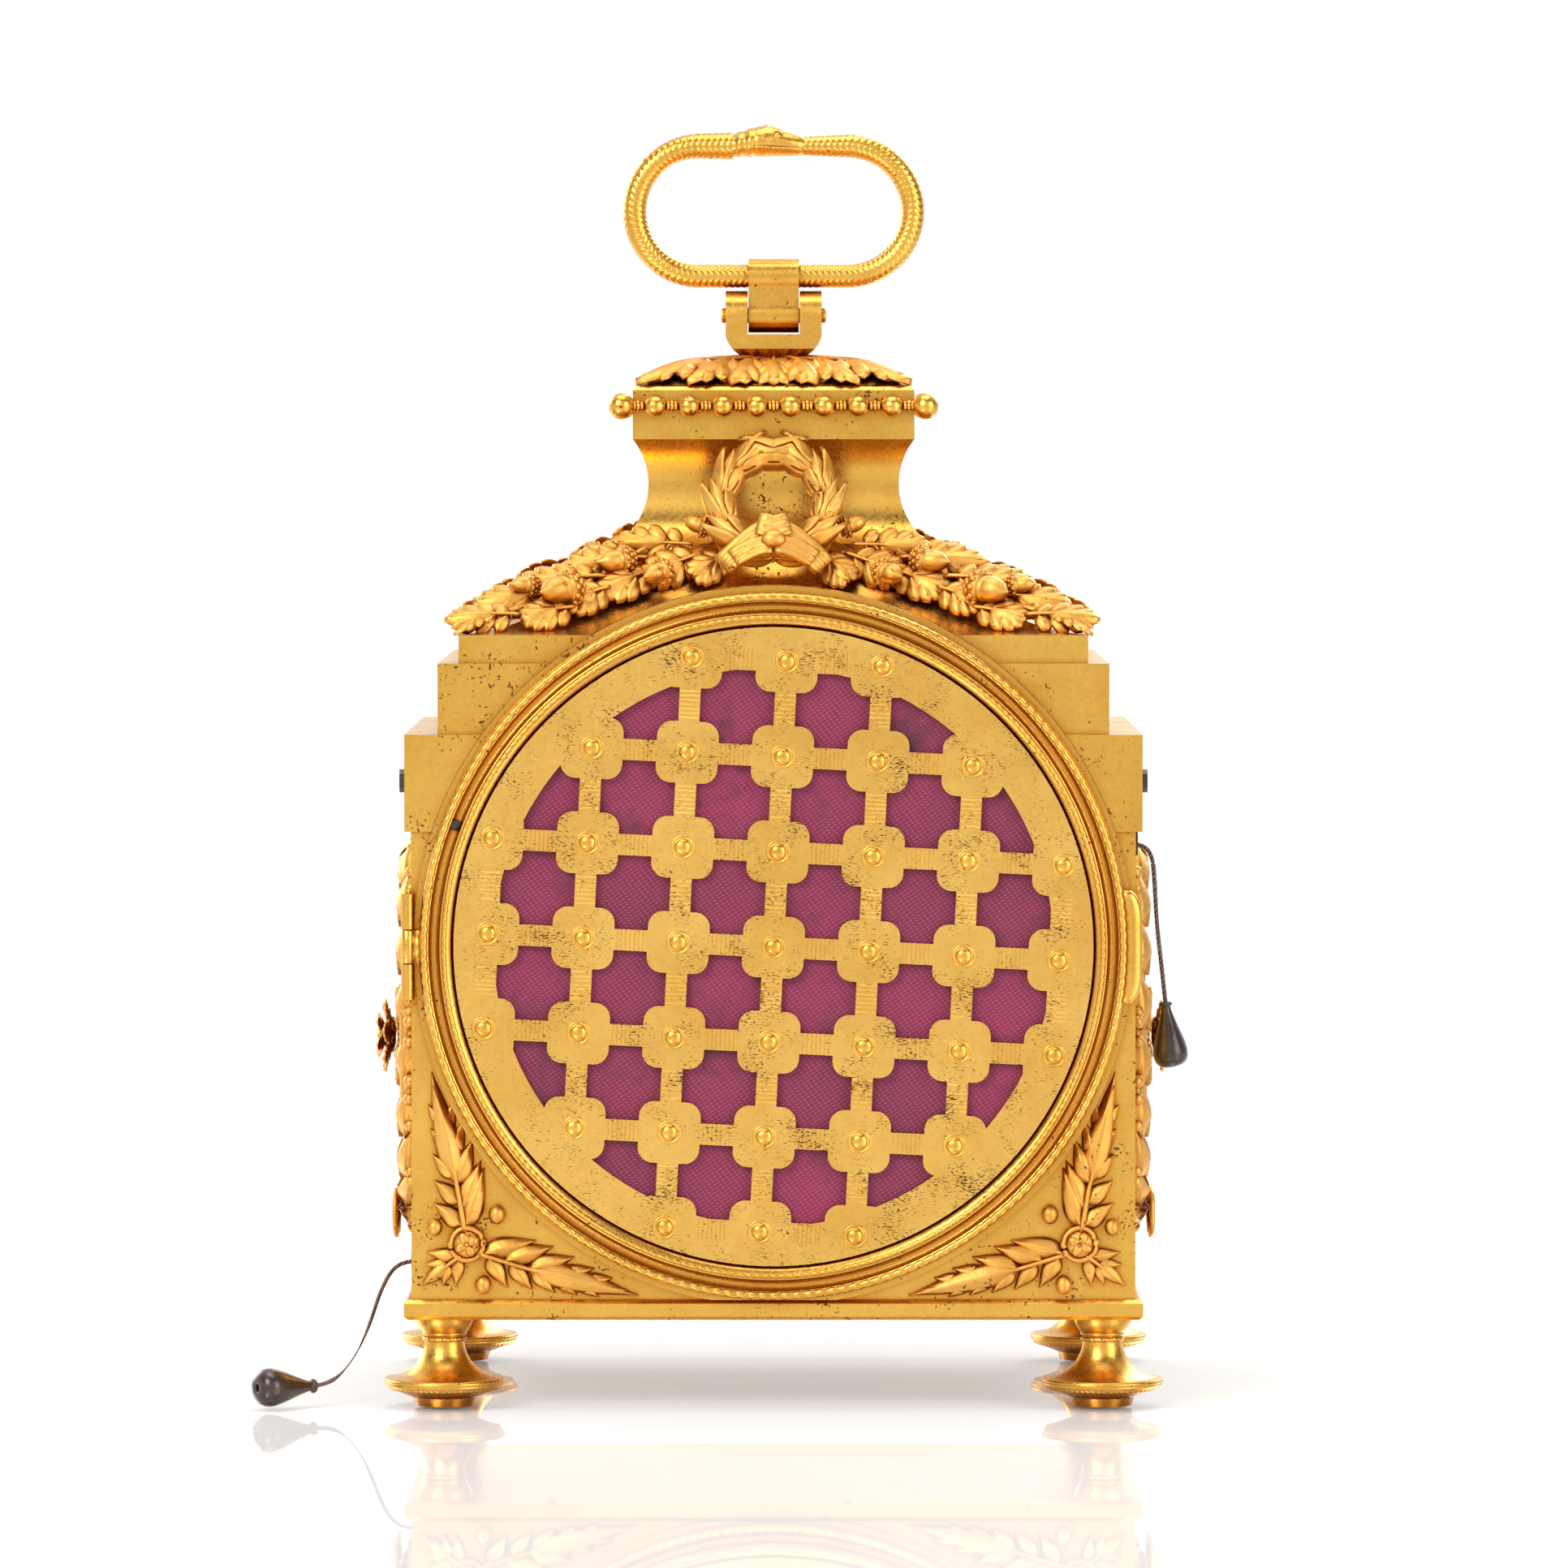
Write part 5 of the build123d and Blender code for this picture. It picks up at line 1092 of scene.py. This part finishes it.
def corner_sprays():
    """A chased spray in each lower corner of both faces: a long frond up the edge, one along the foot and a
    bud."""
    bm = bmesh.new()
    bud = (9.5, 9.6)
    for side in (1, -1):
        for turn in (1, -1):
            def put(x, z, h):
                inward = HALF_W - x
                r = hypot(inward, BASE_TOP + z - FACE_Z)
                flat = max(0.0, min(1.0, (r - 61.9) / 1.2))
                return Vector((turn * inward, side * (HALF_D + 0.10 + max(-0.05, h * (0.35 + 0.65 * flat))),
                               BASE_TOP + z))

            for base, tip, lobes, width in (UP_FROND, FOOT_FROND, HEEL_FROND):
                add_frond(bm, put, base, tip, lobes, width, lift=(1.55, 0.9), bend=-0.02, rib=0.42)
            for x, z, r in ((4.0, 12.4, 1.25), (14.6, 14.6, 1.45), (12.2, 2.6, 1.4)):
                add_ball(bm, placed(put(x, z, 1.0), (1, 0, 0), (0, side, 0)), (r, r * 1.15, r * 0.9),
                         rings=10, around=16)
                add_blade(bm, put, (x - 0.9 * r, z), 0.0, 2.0 * r, 1.0 * r, lift=(1.5, 1.5), fold=0.3)
            ring = [put(bud[0] + 2.75 * cos(t), bud[1] + 2.75 * sin(t),
                        1.7) for t in [2 * pi * k / 32 for k in range(32)]]
            add_tube(bm, ring, 0.5, around=8, closed=True)
            add_ball(bm, placed(put(*bud, 1.4), (1, 0, 0), (0, side, 0)), (2.45, 2.45, 1.5), rings=12,
                     around=24)
            for k in range(4):
                lean = 2 * pi * (k + 0.3) / 4
                petal = placed(put(bud[0] + 1.1 * cos(lean), bud[1] + 1.1 * sin(lean), 2.45), (1, 0, 0),
                               (0, side, 0))
                add_ball(bm, petal @ Matrix.Rotation(lean * turn * side, 4, "Z"), (1.15, 0.85, 0.62), rings=8,
                         around=12)
            add_ball(bm, placed(put(*bud, 2.9), (1, 0, 0), (0, side, 0)), (0.42, 0.42, 0.4), rings=6,
                     around=10)
    obj = piece("corner_spray_leaves", bm, matte_gilt, "case")
    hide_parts("corner_sprays")


corner_sprays()


def side_mounts():
    """On each side wall: an oval laurel wreath with a row of berries, and a rosette boss in its middle."""
    low, high = [Vector(v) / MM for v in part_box("side_wreaths")]
    mid_z = (low.z + high.z) / 2
    bm = bmesh.new()
    boss = bmesh.new()
    for side in (1, -1):
        place = placed((side * (HALF_W + 0.1), 0, mid_z), (0, side, 0), (side, 0, 0))
        turned = place.to_3x3()
        laurel_wreath(bm, place, 17.0, 30.4, 10, (11.5, 5.4), 1.7, berries=(3.1, 1.25, 4))
        for half in (1, -1):
            for i in range(19):
                t = radians(-80 + 160 * i / 18)
                if i % 3 == 2:
                    continue
                spot = Vector((half * 19.4 * cos(t), 32.6 * sin(t), 1.15))
                add_ball(bm, Matrix.Translation(place @ spot), (1.2, 1.2, 1.2), rings=10, around=16)
        for sx in (1, -1):
            points = [place @ Vector((sx * (0.6 + 6.0 * sin(t)), -30.8 + 3.0 * sin(2 * t),
                                      3.6 + 0.5 * sin(t)))
                      for t in [pi * n / 12 for n in range(13)]]
            add_ribbon(bm, points, [turned @ Vector((0, 0, 1))] * 13, 2.6, flutes=2)
        for petals, reach, width, height, tilt, twist in ((9, 10.6, 6.4, 0.5, 0.10, 0.0),
                                                          (8, 8.6, 5.6, 2.0, 0.30, 0.5),
                                                          (7, 6.2, 4.6, 3.6, 0.55, 0.2),
                                                          (5, 3.9, 3.4, 4.9, 0.9, 0.6)):
            for k in range(petals):
                turn = 2 * pi * (k + twist) / petals
                aim = Vector((cos(turn), sin(turn), tilt))
                foot = Vector((0.8 * cos(turn), 0.8 * sin(turn), height))
                add_oak_leaf(boss, placed(place @ foot, turned @ aim, turned @ Vector((0, 0, 1))), reach,
                             width, sag=0.12,
                             cup=0.25)
        add_ball(boss, place @ Matrix.Translation((0, 0, 6.0)), (1.7, 1.7, 1.6))
    wreath = piece("side_wreath_leaves", bm, matte_gilt, "case")
    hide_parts("side_wreaths")
    rosette = piece("side_boss_rosettes", boss, matte_gilt, "case")
    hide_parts("side_bosses")


side_mounts()


# ------------------------------------------------------------------ feet
def foot_trim():
    """The corded line under each foot's disc and the small ring at its neck."""
    bm = bmesh.new()
    for name in ("foot_front_left", "foot_front_right", "foot_rear_left", "foot_rear_right"):
        centre = middle(name) / MM
        centre.z = 0
        add_rope_ring(bm, Matrix.Translation(centre + Vector((0, 0, 3.25))), 9.25, 0.50, 60)
        add_rope_ring(bm, Matrix.Translation(centre + Vector((0, 0, 11.4))), 3.38, 0.42, 26, around=8)
        ring = [centre + Vector((3.5 * cos(t), 3.5 * sin(t),
                                 12.3)) for t in [2 * pi * k / 40 for k in range(40)]]
        add_tube(bm, ring, 0.35, around=8, closed=True)
        ring = [centre + Vector((10.0 * cos(t), 10.0 * sin(t),
                                 4.25)) for t in [2 * pi * k / 64 for k in range(64)]]
        add_tube(bm, ring, 0.42, around=8, closed=True)
    piece("foot_trim", bm, chased_gilt, "case")


foot_trim()


# ------------------------------------------------------------------ screws
def screws():
    """Small dark domed screws, each with a round recess: one on the rear door, four on the back plate."""
    bm = bmesh.new()
    door = bmesh.new()

    def screw(target, spot, out, r=1.0):
        place = placed(spot, Vector(out).orthogonal(), out)
        add_lathe(target, place,
                  [(a * r, b * r) for a, b in ((1.0, -0.2), (1.0, 0.35), (0.8, 0.6), (0.34, 0.7), (0.3, 0.45),
                                                           (0.0, 0.45))], around=20)

    turn = radians(21)
    screw(door, (58.0 * cos(turn), DOOR_BACK + DOOR_T - 1.85, FACE_Z + 58.0 * sin(turn)), (0, 1, 0), 0.95)
    low, high = [Vector(v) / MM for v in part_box("back_plate")]
    mid = Vector((0, high.y, (low.z + high.z) / 2))
    for angle in (10, 100, 150, 265):
        screw(bm, mid + Vector((41 * cos(radians(angle)), 0, 41 * sin(radians(angle)))), (0, 1, 0), 1.9)
    piece("door_screw", door, dark_steel, "rear_door")
    piece("plate_screws", bm, blued_steel, "case")


screws()


# ------------------------------------------------------------------ dial
def dial_marks():
    """Plain numbers, a minute ring and an alarm ring on the enamel dial."""
    low, high = [Vector(v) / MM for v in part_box("dial")]
    y = low.y - 0.03
    bm = bmesh.new()

    def bar(angle, r0, r1, width):
        out = Vector((sin(angle), 0, cos(angle)))
        side = Vector((cos(angle), 0, -sin(angle)))
        centre = Vector((0, y, FACE_Z))
        corners = [centre + out * r + side * s * width for r,
                   s in ((r0, -0.5), (r1, -0.5), (r1, 0.5), (r0, 0.5))]
        front = [bm.verts.new(c) for c in corners]
        back = [bm.verts.new(c + Vector((0, 0.05, 0))) for c in corners]
        bm.faces.new(front)
        bm.faces.new(list(reversed(back)))
        for k in range(4):
            m = (k + 1) % 4
            bm.faces.new((front[m], front[k], back[k], back[m]))

    for k in range(60):
        angle = 2 * pi * k / 60
        bar(angle, 42.6, 44.6, 1.0 if k % 5 == 0 else 0.3)
    for k in range(48):
        angle = 2 * pi * k / 48
        bar(angle, 20.0, 20.9 if k % 4 else 21.6, 0.22)
    for radius in (42.6, 44.6, 20.0, 21.6):
        for k in range(180):
            angle = 2 * pi * k / 180
            bar(angle, radius - 0.1, radius + 0.1, radius * 2 * pi / 178)
    piece("dial_marks", bm, numeral_black, "case", smooth=False)
    for hour in range(1, 13):
        text = bpy.data.curves.new(f"numeral_{hour}", "FONT")
        text.body = str(hour)
        text.size = 11.0 * MM
        text.align_x = "CENTER"
        text.align_y = "CENTER"
        text.extrude = 0.03 * MM
        text.materials.append(numeral_black)
        obj = bpy.data.objects.new(f"numeral_{hour}", text)
        bpy.context.scene.collection.objects.link(obj)
        angle = 2 * pi * hour / 12
        obj.location = metres((35.0 * sin(angle), y, FACE_Z + 35.0 * cos(angle)))
        obj.rotation_euler = (pi / 2, 0, 0)
        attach(obj, "case")


dial_marks()


# ------------------------------------------------------------------ hairspring
def hairspring():
    """The balance's spiral spring, one stiff piece that turns with the balance."""
    low, high = [Vector(v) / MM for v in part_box("balance_wheel")]
    mid = (low + high) / 2
    points = [Vector((mid.x + (1.1 + 0.42 * t) * cos(2 * pi * t), high.y - 2.6,
                      mid.z + (1.1 + 0.42 * t) * sin(2 * pi * t)))
              for t in [n / 24 for n in range(24 * 9)]]
    bm = bmesh.new()
    add_tube(bm, points, 0.07, around=6)
    piece("hairspring", bm, blued_steel, "balance")


hairspring()


# ------------------------------------------------------------------ finish of the carried-over CAD pieces
def finish_node(name, material):
    """Gives a CAD piece its finish."""
    obj = nodes[name]
    obj.data.materials.clear()
    obj.data.materials.append(material)


for name in ("base_plate", "case_walls", "case_top", "top_block", "rear_face_ring", "front_face_ring",
             "dial_ring"):
    finish_node(name, plain_gilt)
for name in ("acanthus_mount", "handle_fork", "handle_pin", "handle_collar", "foot_front_left",
             "foot_front_right", "foot_rear_left", "foot_rear_right", "door_hinges", "hinge_pins"):
    finish_node(name, chased_gilt)
finish_node("grille", brushed_gilt)
finish_node("front_glass", clear_glass)
finish_node("dial", enamel)
finish_node("bell", bell_metal)
finish_node("side_buttons", dark_horn)
finish_node("cord_bushes", dark_steel)
for name in ("minute_hand", "hour_hand", "hammer", "lever"):
    finish_node(name, blued_steel)
finish_node("alarm_hand", chased_gilt)
for name in ("front_plate", "back_plate", "pillars", "centre_wheel", "cannon_pinion", "minute_wheel",
             "hour_wheel", "going_barrel", "third_wheel", "escape_wheel", "balance_wheel", "balance_cock",
             "strike_barrel", "strike_wheel", "fly", "repeat_drum", "alarm_drum"):
    finish_node(name, movement_brass)


# ------------------------------------------------------------------ stage and light
FLOOR_EDGE = -3.0
FLOOR_GLOW = 0.12
MIRROR_SHARE = 0.40
FADE_BEHIND = (-0.10, -0.55)  # Y where the floor starts to whiten behind the clock, and where it is white
FADE_AROUND = (0.45, 1.0)  # the same by distance from the clock


def glow_for_camera(add, tree, strength):
    """White light that only the camera and its mirror rays see, so that it whitens the stage and lights
    nothing."""
    path = add("ShaderNodeLightPath")
    either = add("ShaderNodeMath", operation="MAXIMUM")
    tree.links.new(path.outputs["Is Camera Ray"], either.inputs[0])
    tree.links.new(path.outputs["Is Glossy Ray"], either.inputs[1])
    level = add("ShaderNodeMath", operation="MULTIPLY")
    level.inputs[1].default_value = strength
    tree.links.new(either.outputs[0], level.inputs[0])
    return level.outputs[0]


def stage():
    """A pale glossy floor under a white backdrop; the floor keeps the object's shadow and its faint
    reflection."""
    mat, tree, shader, add = node_material("floor_pale")
    place = add("ShaderNodeTexCoord").outputs["Object"]
    haze = add("ShaderNodeTexNoise", Scale=14.0, Detail=3.0)
    tree.links.new(place, haze.inputs["Vector"])
    tree.links.new(ramp(add, tree, haze.outputs["Fac"],
                        ((0.3, (0.70, 0.70, 0.705)), (0.7, (0.72, 0.72, 0.72)))),
                   shader.inputs["Base Color"])
    shader.inputs["Roughness"].default_value = 0.9
    shader.inputs["Specular IOR Level"].default_value = 0.0
    shader.inputs["Emission Color"].default_value = (1, 1, 1, 1)
    tree.links.new(glow_for_camera(add, tree, FLOOR_GLOW), shader.inputs["Emission Strength"])
    mirror = add("ShaderNodeBsdfGlossy")
    mirror.inputs["Color"].default_value = (0.98, 0.975, 0.965, 1)
    mirror.inputs["Roughness"].default_value = 0.02
    share = add("ShaderNodeMixShader")
    share.inputs["Fac"].default_value = MIRROR_SHARE
    tree.links.new(shader.outputs["BSDF"], share.inputs[1])
    tree.links.new(mirror.outputs["BSDF"], share.inputs[2])
    spot = add("ShaderNodeNewGeometry").outputs["Position"]
    split = add("ShaderNodeSeparateXYZ")
    tree.links.new(spot, split.inputs["Vector"])
    behind = add("ShaderNodeMapRange")
    behind.inputs["From Min"].default_value = FADE_BEHIND[0]
    behind.inputs["From Max"].default_value = FADE_BEHIND[1]
    tree.links.new(split.outputs["Y"], behind.inputs["Value"])
    reach = add("ShaderNodeVectorMath", operation="LENGTH")
    tree.links.new(spot, reach.inputs[0])
    around = add("ShaderNodeMapRange")
    around.inputs["From Min"].default_value = FADE_AROUND[0]
    around.inputs["From Max"].default_value = FADE_AROUND[1]
    tree.links.new(reach.outputs["Value"], around.inputs["Value"])
    away = add("ShaderNodeMath", operation="MAXIMUM")
    tree.links.new(behind.outputs["Result"], away.inputs[0])
    tree.links.new(around.outputs["Result"], away.inputs[1])
    white = add("ShaderNodeEmission")
    tree.links.new(glow_for_camera(add, tree, 1.0), white.inputs["Strength"])
    faded = add("ShaderNodeMixShader")
    tree.links.new(away.outputs[0], faded.inputs["Fac"])
    tree.links.new(share.outputs["Shader"], faded.inputs[1])
    tree.links.new(white.outputs["Emission"], faded.inputs[2])
    output = next(n for n in tree.nodes if n.bl_idname == "ShaderNodeOutputMaterial")
    tree.links.new(faded.outputs["Shader"], output.inputs["Surface"])
    bpy.ops.mesh.primitive_plane_add(size=6.0, location=(0, 3.0 + FLOOR_EDGE, -0.0004))
    floor = bpy.context.object
    floor.name = "floor"
    floor.data.materials.append(mat)
    world = bpy.context.scene.world or bpy.data.worlds.new("world")
    bpy.context.scene.world = world
    world.use_nodes = True
    tree = world.node_tree
    back = tree.nodes["Background"]

    def add_here(kind, **values):
        node = tree.nodes.new(kind)
        for key, value in values.items():
            node.inputs[key].default_value = value
        return node

    heading = add_here("ShaderNodeTexCoord").outputs["Generated"]
    room = add_here("ShaderNodeTexNoise", Scale=1.35, Detail=1.5)
    tree.links.new(heading, room.inputs["Vector"])
    panels = tree.nodes.new("ShaderNodeValToRGB")
    panels.color_ramp.elements[0].position = 0.40
    panels.color_ramp.elements[0].color = (0.20, 0.19, 0.18, 1)
    panels.color_ramp.elements[1].position = 0.60
    panels.color_ramp.elements[1].color = (1.0, 0.985, 0.96, 1)
    tree.links.new(room.outputs["Fac"], panels.inputs["Fac"])
    split = add_here("ShaderNodeSeparateXYZ")
    tree.links.new(heading, split.inputs["Vector"])
    behind = tree.nodes.new("ShaderNodeMapRange")
    behind.inputs["From Min"].default_value = -0.55
    behind.inputs["From Max"].default_value = -0.30
    tree.links.new(split.outputs["Y"], behind.inputs["Value"])
    seen = tree.nodes.new("ShaderNodeMix")
    seen.data_type = "RGBA"
    tree.links.new(behind.outputs["Result"], seen.inputs["Factor"])
    seen.inputs[6].default_value = (1, 1, 1, 1)
    tree.links.new(panels.outputs["Color"], seen.inputs[7])
    path = tree.nodes.new("ShaderNodeLightPath")
    through = tree.nodes.new("ShaderNodeMath")
    through.operation = "MAXIMUM"
    tree.links.new(path.outputs["Is Camera Ray"], through.inputs[0])
    tree.links.new(path.outputs["Is Transmission Ray"], through.inputs[1])
    shown = tree.nodes.new("ShaderNodeMix")
    shown.data_type = "RGBA"
    tree.links.new(path.outputs["Is Glossy Ray"], shown.inputs["Factor"])
    shown.inputs[6].default_value = (0.62, 0.61, 0.595, 1)
    tree.links.new(seen.outputs[2], shown.inputs[7])
    final = tree.nodes.new("ShaderNodeMix")
    final.data_type = "RGBA"
    tree.links.new(through.outputs[0], final.inputs["Factor"])
    tree.links.new(shown.outputs[2], final.inputs[6])
    final.inputs[7].default_value = (1, 1, 1, 1)
    back.inputs["Strength"].default_value = 1.0
    tree.links.new(final.outputs[2], back.inputs["Color"])


def area_lamp(name, place, size, energy):
    """A soft rectangular lamp aimed at the middle of the clock."""
    data = bpy.data.lights.new(name, "AREA")
    data.shape = "RECTANGLE"
    data.size, data.size_y = size
    data.energy = energy
    lamp = bpy.data.objects.new(name, data)
    bpy.context.scene.collection.objects.link(lamp)
    lamp.location = place
    lamp.rotation_euler = (Vector((0, 0, 0.1)) - Vector(place)).to_track_quat("-Z", "Y").to_euler()


stage()
area_lamp("key", (0.75, 1.15, 0.95), (0.7, 0.7), 13.0)
area_lamp("fill", (-1.1, 0.95, 0.55), (0.8, 1.0), 9.0)
area_lamp("top", (0.0, 0.0, 1.4), (1.0, 1.0), 10.0)
area_lamp("front_side", (-0.6, -1.3, 0.9), (0.9, 0.9), 13.0)
area_lamp("front_fill", (0.9, -1.0, 0.5), (0.8, 0.8), 8.0)
